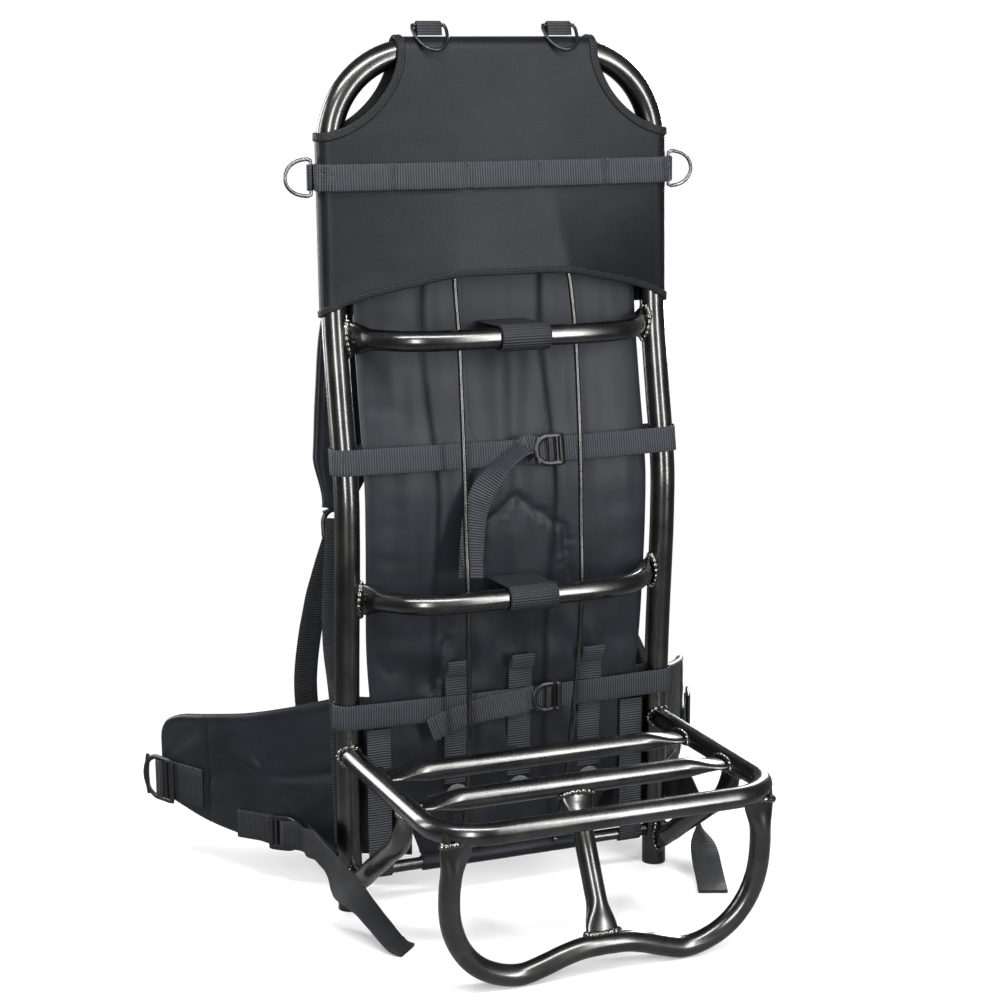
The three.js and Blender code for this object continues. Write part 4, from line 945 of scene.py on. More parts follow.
# Binding round both cuts and all round the hem, with its stitches
def panelTrim():
    cloth, sewn = bmesh.new(), bmesh.new()
    for _, side in sides:
        route, facing = [], []
        for turn in spaced(math.pi / 2, 0, 8)[:-1]:
            route.append(onWrap(side, turn, scoopZ(halfGauge + wrapRadius * math.sin(turn))))
            facing.append(Vector((side * math.sin(turn), -math.cos(turn), 0)))
        shares = [1 - s for s in spaced(0, 1, 44)]
        for share in shares:
            x = panel["topHalf"] + share ** 2.2 * (halfGauge - panel["topHalf"])
            route.append(Vector((side * x, panelY(x, scoopZ(x)), scoopZ(x))))
            facing.append(-back)
        for turn in spaced(0, math.pi, 16)[1:-1]:
            y = spine(topZ) - wrapRadius * math.cos(turn)
            route.append(Vector((side * panel["topHalf"], y, topZ + wrapRadius * math.sin(turn))))
            facing.append(Vector((0, -math.cos(turn), math.sin(turn))))
        for share in reversed(shares):
            x = panel["topHalf"] + share ** 2.2 * (halfGauge - panel["topHalf"])
            route.append(Vector((side * x, spine(scoopZ(x)) + wrapRadius, scoopZ(x))))
            facing.append(back)
        for turn in spaced(math.pi, math.pi / 2, 8)[1:-1]:
            route.append(onWrap(side, turn, scoopZ(halfGauge + wrapRadius * math.sin(turn))))
            facing.append(Vector((side * math.sin(turn), -math.cos(turn), 0)))
        places = placesAlong(route, outward=facing, closed=True)
        width = panel["binding"]
        inward = -math.copysign(1, places[30].col[0].x * side)
        seam = []
        for i, place in enumerate(places):
            places[i] = place @ Matrix.Translation((inward * (width / 2 - 1.4), 0, 0))
            raised = panel["bindingThick"] / 2 + 0.2 + 0.025 * math.sin(i * 1.7)
            seam.append((places[i] @ Vector((inward * width * 0.22, 0, 0))) + facing[i] * raised)
        sweep(cloth, places, tape(width, panel["bindingThick"]), closed=True)
        stitches(sewn, seam)
    low = panel["hemBinding"] * 0.35
    hem = [(Vector((x, panelY(x, hemZ(x) + low), hemZ(x) + low)), -back)
           for x in spaced(-halfGauge, halfGauge, 90)]
    flank = [(onWrap(1, turn, wrapHem(turn) + low), Vector((math.sin(turn), -math.cos(turn), 0)))
             for turn in spaced(0, math.pi, 16)[1:-1]]
    z = panel["hem"] + low
    rear = [(Vector((x, spine(z) + wrapRadius + 0.4, z)), back) for x in spaced(halfGauge, -halfGauge, 60)]
    hem += flank + rear + [tuple(mirrored(pair, -1)) for pair in flank[::-1]]
    places = placesAlong([p for p, _ in hem], outward=[f for _, f in hem], closed=True)
    sweep(cloth, places, tape(panel["hemBinding"], panel["hemThick"]), closed=True)
    stitches(sewn, [p + f * 1.7 + up * 1.4 for p, f in hem])
    addPiece("panel_binding", cloth, bindingNylon)
    addPiece("panel_stitches", sewn, thread)


topPanel()
panelTrim()
print("top panel made")


# Webbing across the panel, its D-rings and their loops

webbing = {"width": 25, "thick": 1.6, "panelZ": 721, "hip": 30, "belt": 42}
rings = {"width": 38, "wire": 3.6, "topSpacing": 134, "topLean": 42, "sideReach": 0.66, "topReach": 0.82}
tacks = {"xs": [-177, -111, -39, 35, 109], "rungs": 9, "half": 1.3, "step": 2.3,  # they part it into loops
         "reach": 7, "slack": 3.2, "seated": 1.3}


def panelWebbing():
    z = webbing["panelZ"]
    off = panel["fabric"] / 2 + touching * 5 + webbing["thick"] / 2
    half = [Vector((x, panelY(0, z) - off, z)) for x in spaced(0, rodX(z), 10)]
    for x in spaced(rodX(z), halfGauge, 48)[1:-1]:
        share = (x - rodX(z)) / (halfGauge - rodX(z))
        half.append(Vector((x, mix(half[0].y, spine(z) - wrapRadius - off, share), z)))
    half += [onWrap(1, turn, z, off) for turn in spaced(0, math.radians(78), 10)]
    route = mirrored(half[1:][::-1], -1) + half
    for point in route:  # slack between two tacks
        pull = min(abs(point.x - x) for x in tacks["xs"] + [-tacks["xs"][0]])
        point.y -= tacks["slack"] * smoothstep(pull, 0, tacks["reach"]) - tacks["seated"]
    bm = bmesh.new()
    lean = Vector((0, (panelY(90, z + 8) - panelY(90, z - 8)) / 16, 1))
    strap(bm, route, webbing["width"], across=lean)
    addPiece("panel_strap", bm, greyWebbing, ["panel_webbing"])
    bm = bmesh.new()
    low = (1 - tacks["rungs"]) / 2
    for x in tacks["xs"]:
        at = Vector((x, min(route, key=lambda p: abs(p.x - x)).y - webbing["thick"] / 2, z))
        for k in range(tacks["rungs"]):
            aside = tacks["half"] * (-1) ** k
            ends = (aside, low + k), (-aside, low + k + 1)
            stitches(bm, [at + Vector((x1, 0, step * tacks["step"])) for x1, step in ends])
    addPiece("panel_strap_tacks", bm, thread)


# A ring of bent wire: a straight side along `bar` and a bow that reaches `out`
def dRing(bm, centre, bar, out, reach):
    half = rings["width"] / 2 - rings["wire"] / 2
    path = [centre + bar * half * s for s in spaced(-0.92, 0.92, 16)]
    for turn in spaced(0, math.pi, 40)[1:-1]:
        path.append(centre + bar * half * math.cos(turn) + out * reach * math.sin(turn) ** 0.8)
    places = placesAlong(path, across=bar.cross(out), closed=True)
    sweep(bm, places, circle(14, rings["wire"] / 2), closed=True)


ringRadius = rings["wire"] / 2 + touching * 2 + webbing["thick"] / 2
sideRingX = halfGauge + wrapRadius + panel["fabric"] / 2 + touching + ringRadius + webbing["thick"] / 2
topRingZ = topZ + wrapRadius + panel["fabric"] / 2 + ringRadius * 3


def sideRing(name, side):
    z = webbing["panelZ"]
    y = spine(z)
    bm = bmesh.new()
    dRing(bm, Vector((side * sideRingX, y, z)), up, right * side, rings["width"] * rings["sideReach"])
    addPiece(f"{name}_side_ring", bm, steel, [f"side_ring_{name}"])
    skin = clearOf(wrapRadius + panel["fabric"] / 2, webbing["thick"])
    route = [Vector((side * (sideRingX + ringRadius * math.cos(t)), y + ringRadius * math.sin(t), z))
             for t in spaced(-0.5 * math.pi, 0.62 * math.pi, 18)]
    route += [Vector((side * (halfGauge + skin * math.sin(t)), y - skin * math.cos(t), z))
              for t in spaced(math.radians(104), math.radians(150), 10)]
    bm = bmesh.new()
    strap(bm, route, webbing["width"] * 0.98, across=up, uneven=0)
    addPiece(f"{name}_side_loop", bm, darkWebbing, [f"side_loop_{name}"])


def topRing(name, side):
    lean = math.radians(rings["topLean"])
    x, y = side * rings["topSpacing"] / 2, spine(topZ)
    bm = bmesh.new()
    out = Vector((0, -math.sin(lean), -math.cos(lean)))
    dRing(bm, Vector((x, y, topRingZ)), right, out, rings["width"] * rings["topReach"])
    addPiece(f"{name}_top_ring", bm, blackPlastic, [f"top_ring_{name}"])
    foot = topZ + wrapRadius + panel["fabric"] / 2 + touching
    half = [Vector((0, ringRadius * mix(1.5, 1, t), mix(foot, topRingZ, t))) for t in spaced(0, 1, 8)]
    half += [Vector((0, ringRadius * math.cos(t), topRingZ + ringRadius * math.sin(t)))
             for t in spaced(0, math.pi / 2, 8)[1:]]
    route = half + [Vector((0, -p.y, p.z)) for p in half[:-1][::-1]]
    bm = bmesh.new()
    strap(bm, [p + Vector((x, y, 0)) for p in route], webbing["width"], across=right, uneven=0)
    addPiece(f"{name}_top_loop", bm, darkWebbing, [f"top_loop_{name}"])


panelWebbing()
for sideName, sideSign in sides:
    sideRing(sideName, sideSign)
    topRing(sideName, sideSign)
print("panel webbing and rings made")


# Ladder-lock buckles: local X runs along the webbing, Y across it, Z away from it

buckles = {
    "thick": 3.8, "rim": 5.6, "long": 0.92, "sides": 3.6, "waist": 0.1, "end": 1.7,
    "bars": [(0.07, 3.8), (0.55, 3.04)],  # share of the length, width in mm
    "plate": (0.74, 0.3, 0.16),  # the same for the plate at the round end, and how far it bows
}


def turnTo(point, along, out):
    x, z = along.normalized(), out.normalized()
    y = z.cross(x).normalized()
    return Matrix.Translation(point) @ Matrix((x, y, z)).transposed().to_4x4()


def buckle(name, node, width, place, cloth):
    half = width / 2 + buckles["sides"]
    long = half * buckles["long"]
    lift = buckles["thick"] / 2
    rim = half - buckles["rim"] / 2
    bm = bmesh.new()
    waist, end = -long * buckles["waist"], long - buckles["end"]
    path = [Vector((waist - (end - 0.2) * math.sin(t), rim * math.cos(t), lift))
            for t in spaced(0, math.pi, 30)]
    path += [Vector((x, -rim, lift)) for x in spaced(waist, end, 8)[1:]]
    path += [Vector((end, y, lift)) for y in spaced(-rim, rim, 12)[1:]]
    path += [Vector((x, rim, lift)) for x in spaced(end, waist, 8)[1:-1]]
    sweep(bm, placesAlong(path, outward=up, closed=True), oval(buckles["rim"], buckles["thick"]), closed=True)
    crossing = [(long * share, wide, 0) for share, wide in buckles["bars"]]
    crossing.append(tuple(long * share * sign for share, sign in zip(buckles["plate"], (-1, 1, 1))))
    for x, wide, bowed in crossing:
        bar = [Vector((x - bowed * (1 - (y / rim) ** 2), y, lift))
               for y in spaced(-rim * 0.97, rim * 0.97, 12)]
        sweep(bm, placesAlong(bar, outward=up), oval(wide, buckles["thick"] * 0.92))
    bmesh.ops.transform(bm, matrix=place, verts=bm.verts)
    addPiece(name, bm, blackPlastic, [node])
    bm = bmesh.new()  # webbing threaded over the middle bar
    over = lift * 2 + webbing["thick"] * 0.5
    hump = [(-long * 0.13, 0.9), (-long * 0.1, over - 0.9), (long * 0.07, over), (long * 0.24, over - 0.9),
            (long * 0.27, 0.9)]
    route = curveThrough([Vector((x, 0, z)) for x, z in hump], 24)
    strap(bm, route, width - 2, across=back, uneven=0, thick=1.4)
    bmesh.ops.transform(bm, matrix=place, verts=bm.verts)
    addPiece(f"{name}_webbing", bm, cloth)


# Bands round both uprights, with a buckle and a loose end each

# Share of the loose end's length along the band, share of it that it has dropped
bands = {
    "upper": {"z": 454, "length": 118, "twist": 1.15, "rows": [
        (0, 0), (0.12, -0.02), (0.3, 0.07), (0.47, 0.24), (0.58, 0.48), (0.63, 0.74), (0.66, 1)]},
    "lower": {"z": 200.5, "length": 112, "twist": 0.25, "rows": [
        (0, 0), (0.25, 0.02), (0.55, 0.06), (0.8, 0.12), (1, 0.19)]},
}
buckleX = 38
bandSkin = clearOf(tubeRadius + touching, webbing["thick"])
pad = {"thick": 13, "edge": 2.4, "top": 650, "sideGap": 7.4, "middle": 1, "halfRows": [
    (0, 0.62), (0.05, 0.7), (0.12, 0.88), (0.25, 0.96), (0.4, 1), (1, 1)]}
padWidth = 2 * (halfGauge - tubeRadius - pad["sideGap"])


def padHalf(share):  # half width of the pad at a share of its height
    return follow(pad["halfRows"], share) * padWidth / 2


def padBack(z):
    return spine(z) + pad["middle"] + pad["thick"] / 2


def padFront(z):
    return spine(z) + pad["middle"] - pad["thick"] / 2


def leanAt(z):
    return Vector((0, (spine(z + 6) - spine(z - 6)) / 12, 1))


def bandOut(z):
    return Vector((0, -1, leanAt(z).y)).normalized()


def bandPoint(x, z):
    return Vector((x, spine(z) - bandSkin, z))


def band(name):
    z, rows, length = bands[name]["z"], bands[name]["rows"], bands[name]["length"]
    half = [bandPoint(x, z) for x in spaced(0, halfGauge, 34)[:-1]]
    half += [Vector((halfGauge + bandSkin * math.sin(t), spine(z) - bandSkin * math.cos(t), z))
             for t in spaced(0, math.pi, 18)]
    sewnY = padBack(z) + 3 * touching + webbing["thick"] / 2
    sewn = Vector((padWidth / 2 - 0.7 * webbing["width"], sewnY, z))
    half += [half[-1].lerp(sewn, t) for t in spaced(0, 1, 6)[1:]]
    route = mirrored(half[1:][::-1], -1) + half
    for point in route:  # sags a little between the uprights
        if abs(point.x) < halfGauge and point.y < spine(z):
            point.z -= 1.6 * math.cos(point.x / halfGauge * math.pi / 2)
    bm = bmesh.new()
    strap(bm, route, webbing["width"], across=leanAt(z))
    addPiece(f"{name}_band", bm, greyWebbing, [f"band_{name}"])
    out = bandOut(z)
    start = buckleX - 0.56 * webbing["width"]
    points = []
    for x, drop in rows:
        lying = bandPoint(start - x * length, z) - leanAt(z) * drop * length
        points.append(lying + out * (webbing["thick"] + 2 * touching + 2 * webbing["thick"] * min(x, 0.5)))
    route = curveThrough(points, 60)
    widths = [run.cross(out) for run in tangents(route)]
    for i in range(len(route)):  # leaves its buckle edge on, then turns flat
        share = i / (len(route) - 1)
        turn = bands[name]["twist"] * smoothstep(share, 0.02, 0.12) * (1 - smoothstep(share, 0.25, 0.62))
        widths[i] = widths[i] * math.cos(turn) - out * math.sin(turn)
        route[i] += out * webbing["width"] / 2 * math.sin(turn)
    bm = bmesh.new()
    strap(bm, route, webbing["width"], across=widths, uneven=1.1)
    hem = route[-5:]  # end folded back and sewn
    strap(bm, [p + out * 1.5 for p in hem], webbing["width"] - 0.4, across=widths[-5:], uneven=0)
    addPiece(f"{name}_band_tail", bm, greyWebbing, [f"band_tail_{name}"])
    place = turnTo(bandPoint(buckleX, z - 1.4) + out * (webbing["thick"] / 2 + touching), right, out)
    buckle(f"{name}_ladder_lock", f"band_buckle_{name}", webbing["width"], place, darkWebbing)


# Webbing wrapped round the middle of each crossbar and carried back to the pad
wrapSeams = [-21, -18, 18, 21]


def barWrap(name):
    z = crossbars[name]["z"]
    radius = clearOf(barRadius, webbing["thick"])
    y = crossbarY(name, 0)

    def face(height):
        return padFront(height) - touching * 2 - webbing["thick"] / 2
    lower, upper = Vector((0, face(z - radius), z - radius)), Vector((0, face(z + radius), z + radius * 0.9))
    bend = [Vector((0, y - radius * math.cos(t), z + radius * math.sin(t)))
              for t in spaced(-0.5 * math.pi, 0.5 * math.pi, 18)]
    route = [lower.lerp(bend[0], t) for t in spaced(0, 1, 8)[:-1]] + bend
    route += [bend[-1].lerp(upper, t) for t in spaced(0, 1, 8)[1:]]
    bm = bmesh.new()
    strap(bm, route, webbing["width"] * 2, across=right, uneven=0.5)
    addPiece(f"{name}_bar_wrap", bm, darkWebbing, [f"crossbar_wrap_{name}"])
    bm = bmesh.new()  # second layer, sewn on the front
    outer = radius + webbing["thick"] + 0.2
    front = [Vector((0, y - outer * math.cos(t), z + outer * math.sin(t))) for t in spaced(-1.1, 1.25, 22)]
    strap(bm, front, webbing["width"] * 2, across=right, uneven=0.4)
    addPiece(f"{name}_bar_wrap_front", bm, darkWebbing)
    bm = bmesh.new()
    for x in wrapSeams:
        stitches(bm, [p + Vector((x, 0, 0)) + (p - Vector((0, y, z))).normalized() for p in front])
    addPiece(f"{name}_bar_wrap_stitches", bm, thread)


for bandName in bands:
    band(bandName)
    barWrap(bandName)
print("bands and crossbar wraps made")


# Webbing stitched down the pad, each strip with a raised loop at its top, and at the pad's edges

padStraps = {"xs": {"left": -0.38, "middle": 0.08, "right": 0.6}, "loop": 11, "drop": 34, "foot": 118,
             "rows": [(0.35, 0.64), (0, 1), (-0.07, 0.86), (0.29, 0.24), (1, 0.24)]}


def onPad(x, z, off):
    return Vector((x, padFront(z) - touching - webbing["thick"] / 2 - off, z))


def padStrap(name):
    x = padStraps["xs"][name] * padWidth / 2
    top = bands["lower"]["z"] + webbing["width"] / 2 + 0.93 * padStraps["drop"]
    loop = [onPad(x, top - drop * padStraps["drop"], off * padStraps["loop"])
            for drop, off in padStraps["rows"]]
    strip = [onPad(x, z, 0) for z in ((bands["lower"]["z"] + padStraps["foot"]) / 2, padStraps["foot"])]
    bm = bmesh.new()
    strap(bm, curveThrough(loop + strip, 90), webbing["width"], across=right, uneven=0.5)
    addPiece(f"{name}_pad_strap", bm, greyWebbing, [f"pad_strap_{name}"])


def outerStrap(name, side):
    radius = clearOf(bottomBar["dia"] / 2, webbing["thick"])
    x = side * (padWidth / 2 - 0.44 * webbing["width"])
    edge = panel["fabric"] * 0.75 + 0.35 * pad["thick"] - pad["thick"] / 2
    levels = spaced(bands["lower"]["z"] - 0.7 * webbing["width"], 2 * bottomBarZ, 2)
    points = [onPad(x, z, edge) for z in levels]
    points += [Vector((x, -radius * math.cos(t), bottomBarZ - radius * math.sin(t)))
               for t in spaced(0, math.pi / 2, 4)]
    bm = bmesh.new()
    strap(bm, curveThrough(points, 60), webbing["width"], across=right, uneven=0.5)
    addPiece(f"{name}_outer_strap", bm, greyWebbing, [f"outer_strap_{name}"])


for strapName in padStraps["xs"]:
    padStrap(strapName)
for sideName, sideSign in sides:
    outerStrap(sideName, sideSign)
print("pad straps made")


# Padded pieces: a pillow form with thin sewn edges

def inside(u, v):  # 1 within a pad, down to 0 at its edges
    return (1 - abs(u) ** 4) * (1 - abs(v) ** 6)


def pillow(u, v):
    return math.sqrt(max(inside(u, v), 0))


# Both faces of a pad over the sheet at(u, v) that gives a point, its normal and its wall; u and v run
# from -1 to 1, and `relief` moves each face by folds and seams
def padBody(name, node, across, along, at, relief):
    bm = bmesh.new()
    for sign in (1, -1):
        def face(u, v):
            point, normal, wall = at(2 * u - 1, 2 * v - 1)
            return point + normal * sign * (wall / 2 + relief(2 * u - 1, 2 * v - 1, sign))
        shapedGrid(bm, across, along, face)
    rims = [edge for edge in bm.edges if edge.is_boundary]
    bmesh.ops.bridge_loops(bm, edges=rims)
    piece = addPiece(name, bm, padNylon, [node], sharp=60)


padFootZ = bottomBarZ + sleeveRadius + touching


def backPadAt(u, v):
    share = (v + 1) / 2
    z = mix(padFootZ, pad["top"], share)
    wall = mix(pad["edge"], pad["thick"], pillow(u, v))
    return Vector((u * padHalf(share), spine(z) + pad["middle"], z)), back, wall


# Seams on the pad's face: points across and up, in mm. The arch and the two lower ones are sunk, and
# the long U is only stitched.
padSeams = {
    "arch": [(-36, 304), (-35, 375), (4, 407), (57, 372), (64, 320)],
    "edge": [(-146, 272), (-140, 252), (-126, 238)],
    "corner": [(-66, 267), (-72, 240), (-78, 214)],
    "long": [(-38, 612), (-39, 480), (-28, 455), (30, 452), (41, 478), (42, 612)],
}
sunkSeams = ["arch", "edge", "corner"]
sunk = {"deep": 2.3, "wide": 3.6, "pucker": 1.5, "reach": 11}
padFolds = {"long": 2.4, "longLow": 4.2, "fine": 1.5, "low": 3.6, "gathers": 1.7, "rear": 0.9}


def seamDistance(x, z, rows):
    nearest = 1e6
    for (x0, z0), (x1, z1) in zip(rows, rows[1:]):
        dx, dz = x1 - x0, z1 - z0
        t = min(max(((x - x0) * dx + (z - z0) * dz) / (dx * dx + dz * dz), 0), 1)
        nearest = min(nearest, math.hypot(x - x0 - t * dx, z - z0 - t * dz))
    return nearest


def backPadRelief(u, v, sign):
    share = (v + 1) / 2
    z = mix(padFootZ, pad["top"], share)
    x = u * padHalf(share)
    edge = inside(u, v)
    if sign > 0:
        return -padFolds["rear"] * edge
    folds = (mix(padFolds["longLow"], padFolds["long"], smoothstep(z, 200, 360))
             * noise.noise(Vector((x * 0.026, z * 0.0045, 4))))
    folds += padFolds["fine"] * noise.noise(Vector((x * 0.06, z * 0.012, 8)))
    slanted = noise.noise(Vector((x * 0.03 + z * 0.02, z * 0.018 - x * 0.016, 12)))
    folds += padFolds["low"] * slanted * (1 - smoothstep(z, 230, 330))
    gathers = (padFolds["gathers"] * noise.noise(Vector((x * 0.02 + z * 0.02, z * 0.06, 2)))
               * smoothstep(abs(u), 0.55, 0.95))
    away = min(seamDistance(x, z, padSeams[name]) for name in sunkSeams)
    seam = -sunk["deep"] * math.exp(-(away / sunk["wide"]) ** 2)
    pucker = (sunk["pucker"] * noise.noise(Vector((x * 0.16, z * 0.16, 6)))
              * math.exp(-(away / sunk["reach"]) ** 2))
    return (folds + gathers + seam + pucker - 0.8) * edge


def onPadFace(x, z, off=0.1):
    share = (z - padFootZ) / (pad["top"] - padFootZ)
    u = x / padHalf(share)
    point, normal, wall = backPadAt(u, 2 * share - 1)
    return point - normal * (wall / 2 + backPadRelief(u, 2 * share - 1, -1) + off)


def backPadStitches():
    bm = bmesh.new()
    for rows in padSeams.values():
        line = evenly([Vector((x, 0, z)) for x, z in rows], 60)
        stitches(bm, [onPadFace(p.x, p.z) for p in line])
    addPiece("back_cushion_stitches", bm, thread)
    for name, share in padStraps["xs"].items():  # round patch under the end of each pad strap
        bm = bmesh.new()
        place = Matrix.Translation(onPad(share * padWidth / 2 + 1, padStraps["foot"] - 14, 0))
        place = place @ Matrix.Rotation(math.pi / 2, 4, "X")
        bmesh.ops.create_cone(bm, cap_ends=True, segments=40, radius1=12, radius2=11.4, depth=1.6,
                              matrix=place)
        side, run = (bm.verts.layers.float.new(key) for key in ("side", "run"))
        for vert in bm.verts:
            vert[side], vert[run] = vert.co.x, vert.co.z
        addPiece(f"{name}_strap_patch", bm, greyPatch)


# The pad's foot is sewn into a tunnel that slides on the bottom bar
tunnel = {"half": 91.5, "wall": 1.6, "crease": 0.03, "hem": 4}


def padTunnel():
    half = tunnel["half"]
    route = [Vector((x, 0, bottomBarZ)) for x in spaced(-half, half, 60)]
    pulls = [1 + tunnel["crease"] * noise.noise(Vector((p.x * 0.13, 0, 1))) for p in route]
    places = grown(placesAlong(route, across=up), [(pull, pull) for pull in pulls])
    bm = bmesh.new()
    for radius in (sleeveRadius - tunnel["wall"], sleeveRadius):
        sweep(bm, places, circle(28, radius), capped=False)
    rims = [edge for edge in bm.edges if edge.is_boundary]
    for end in (-half, half):
        bmesh.ops.bridge_loops(bm, edges=[edge for edge in rims if edge.verts[0].co.x * end > 0])
    addPiece("pad_tunnel", bm, padNylon, ["bottom_sleeve"])
    bm = bmesh.new()
    for x in (tunnel["hem"] - half, half - tunnel["hem"]):
        stitches(bm, [Vector((x, sleeveRadius * math.cos(t), bottomBarZ + sleeveRadius * math.sin(t)))
                      for t in spaced(0, 2 * math.pi, 40)])
    addPiece("pad_tunnel_stitches", bm, thread)


padTunnel()
backPadStitches()
padBody("back_cushion", "back_pad", 90, 200, backPadAt, backPadRelief)

lumbar = {"thick": 17, "edge": 3.2, "width": 190, "channel": 1.6, "rows": 1.4, "soft": 0.8}
belt = {"thick": 10, "edge": 3.2, "reach": 212, "spread": 606, "z": 122, "height": 164}
lumbarY = padBack(belt["z"]) + touching + lumbar["thick"] / 2


def lumbarAt(u, v):
    wall = mix(lumbar["edge"], lumbar["thick"], pillow(u, v))
    x = u * (1 - 0.08 * abs(v) ** 3) * lumbar["width"] / 2
    return Vector((x, lumbarY, belt["z"] + v * belt["height"] / 2)), back, wall


def lumbarRelief(u, v, sign):  # sewn down its middle and in two rows across
    channel = -lumbar["channel"] * math.exp(-(u / 0.06) ** 2)
    channel -= lumbar["rows"] * math.exp(-((abs(v) - 0.45) / 0.06) ** 2)
    return (channel + lumbar["soft"] * (noise.noise(Vector((u * 3, v * 3, 5))) - 1)) * inside(u, v)


padBody("lumbar_cushion", "lumbar_pad", 60, 60, lumbarAt, lumbarRelief)

wings = {"rows": [  # share of half the spread, share of the reach, both edges as shares of the height
    ((lumbar["width"] + 8 * touching) / belt["spread"], lumbarY / belt["reach"], 0.49, -0.5),
    (0.43, 0.16, 0.5, -0.5), (0.53, 0.215, 0.5, -0.49), (0.675, 0.355, 0.42, -0.49),
    (0.79, 0.52, 0.35, -0.45), (0.89, 0.705, 0.3, -0.4), (0.96, 0.88, 0.25, -0.34), (1, 1, 0.16, -0.3)],
    "seam": 0.71, "deep": 2.4, "split": 2.2, "soft": 1.3, "slack": 1.7, "rays": 3.2, "piping": 1.5}
wingPlans = [[(i / 7, row[column]) for i, row in enumerate(wings["rows"])] for column in range(4)]


def wingPlace(side, t):
    x = follow(wingPlans[0], t) * belt["spread"] / 2
    return Vector((side * x, follow(wingPlans[1], t) * belt["reach"], 0))


def wingPoint(side, t, v, off=0):
    run = wingPlace(side, min(t + 0.01, 1)) - wingPlace(side, max(t - 0.01, 0))
    out = Vector((run.y * side, -run.x * side, 0)).normalized()
    point = wingPlace(side, t)
    point.z = belt["z"] + belt["height"] * mix(follow(wingPlans[3], t), follow(wingPlans[2], t), v)
    return point + out * off


# Folds fan out of the wing's middle, where the belt's webbing pulls on it
def wing(name, side):
    def at(u, v):
        t, h = (u + 1) / 2, (v + 1) / 2
        tip = max(t - 0.93, 0) / 0.07
        h = 0.5 + (h - 0.5) * mix(0.62, 1, math.sqrt(max(1 - tip * tip, 0)))
        point = wingPoint(side, t, h)
        wall = mix(belt["edge"], belt["thick"], pillow(u, v))
        return point, wingPoint(side, t, h, 1) - point, wall

    def relief(u, v, sign):
        t, h = (u + 1) / 2, (v + 1) / 2
        edge = inside(u, v)
        soft = wings["soft"] * noise.noise(Vector((u * 4 + v, v * 1.6, 7 + side)))
        seam = -wings["deep"] * math.exp(-((t - wings["seam"]) / 0.008) ** 2)
        split = -wings["split"] * math.exp(-((h - 0.52) / 0.03) ** 2) * (1 - smoothstep(t, 0.46, 0.52))
        dt, dh = (t - 0.5) * 2.6, h - 0.5
        spread = math.exp(-(math.hypot(dt, dh) / 0.34) ** 2)
        fan = noise.noise(Vector((3.2 * math.atan2(dh, dt), 0.5 * dt, side)))
        rays = wings["rays"] * fan * spread * smoothstep(math.hypot(dt, dh), 0, 0.16)
        slack = wings["slack"] * noise.noise(Vector((t * 7 + h * 5, h * 1.6 - t * 2, 2 + side)))
        piping = wings["piping"] * math.exp(-((v - 0.95) / 0.035) ** 2)
        return (soft + slack + rays + seam + split - 0.9) * edge + piping * (1 - abs(u) ** 8)
    padBody(f"{name}_belt_wing", f"belt_wing_{name}", 130, 50, at, relief)


for sideName, sideSign in sides:
    wing(sideName, sideSign)
print("back pad and hip belt made")


# Belt fittings

fittings = {
    "tip": 0.93, "adjust": 0.44, "webZ": 60, "anchorZ": 48, "buckleZ": 92, "reach": 128, "steps": 90,
    "tab": (0.725, 0.96), "hipTab": (0.47, 0.6), "hipTabRaised": 3,
    "tabBox": [(0.745, -0.4), (0.745, 0.4), (0.82, 0), (0.745, -0.4)],  # share of the wing, of the width
    "hipBox": [(0.51, -11), (0.585, -11), (0.585, 11), (0.51, 11), (0.51, -11), (0.585, 11), (0.51, 11),
               (0.585, -11)],  # share of the wing, mm up
}
wingSkin = belt["thick"] / 2 + touching
hipTails = {  # shares of half the frame's width, of the reach in front of it, of the belt's height
    "left": [(1.14, -0.2, 0.52), (1.13, 0, 0.56), (1.11, 0.235, 0.51), (1.07, 0.485, 0.38),
             (0.99, 0.72, 0.23), (0.917, 0.89, 0.07), (0.885, 0.95, 0.015), (0.85, 1, 0)],
    "right": [(1.16, -0.22, 0.55), (1.15, -0.02, 0.62), (1.14, 0.17, 0.55), (1.128, 0.31, 0.345),
              (1.095, 0.485, 0.15), (1.06, 0.665, 0.03), (1.035, 0.76, 0.005), (1.01, 0.845, 0)],
}


def onWing(side, t, height, off):
    low = wingPoint(side, t, 0, off)
    return Vector((low.x, low.y, height))


def wingFrame(side, t):
    run = wingPoint(side, min(t + 0.03, 1), 0) - wingPoint(side, t - 0.03, 0)
    run.z = 0
    run.normalize()
    return run, Vector((run.y * side, -run.x * side, 0))


def hipTail(name, side):
    steps = fittings["steps"]
    run, out = wingFrame(1, fittings["adjust"])
    off = wingSkin + 2.5 * touching + buckles["thick"] + webbing["thick"] / 2
    start = onWing(1, fittings["adjust"], fittings["webZ"], off)
    leaving = start - run * 0.6 * webbing["hip"] + out * webbing["thick"]
    points = [start, leaving]
    for x, y, z in hipTails[name]:
        height = webbing["thick"] / 2 + 2 * touching + z * belt["z"]
        points.append(Vector((x * tubing["width"] / 2, -y * fittings["reach"], height)))
    route = mirrored(curveThrough(points, steps), side)
    widths = []
    for i, along in enumerate(tangents(route)):
        share = i / steps
        facing = Vector((side * out.x, out.y, 0)).lerp(right * side, min(share * 3.2, 1))
        facing = facing.lerp(up, smoothstep(share, 0.4, 0.8))
        widths.append(along.cross(facing).normalized())
    bm = bmesh.new()
    strap(bm, route, webbing["hip"], across=widths, uneven=1.2)
    strap(bm, [p + up * 1.6 for p in route[-7:]], webbing["hip"] - 0.5, across=widths[-7:], uneven=0)
    addPiece(f"{name}_hip_tail", bm, darkWebbing, [f"hip_tail_{name}"])


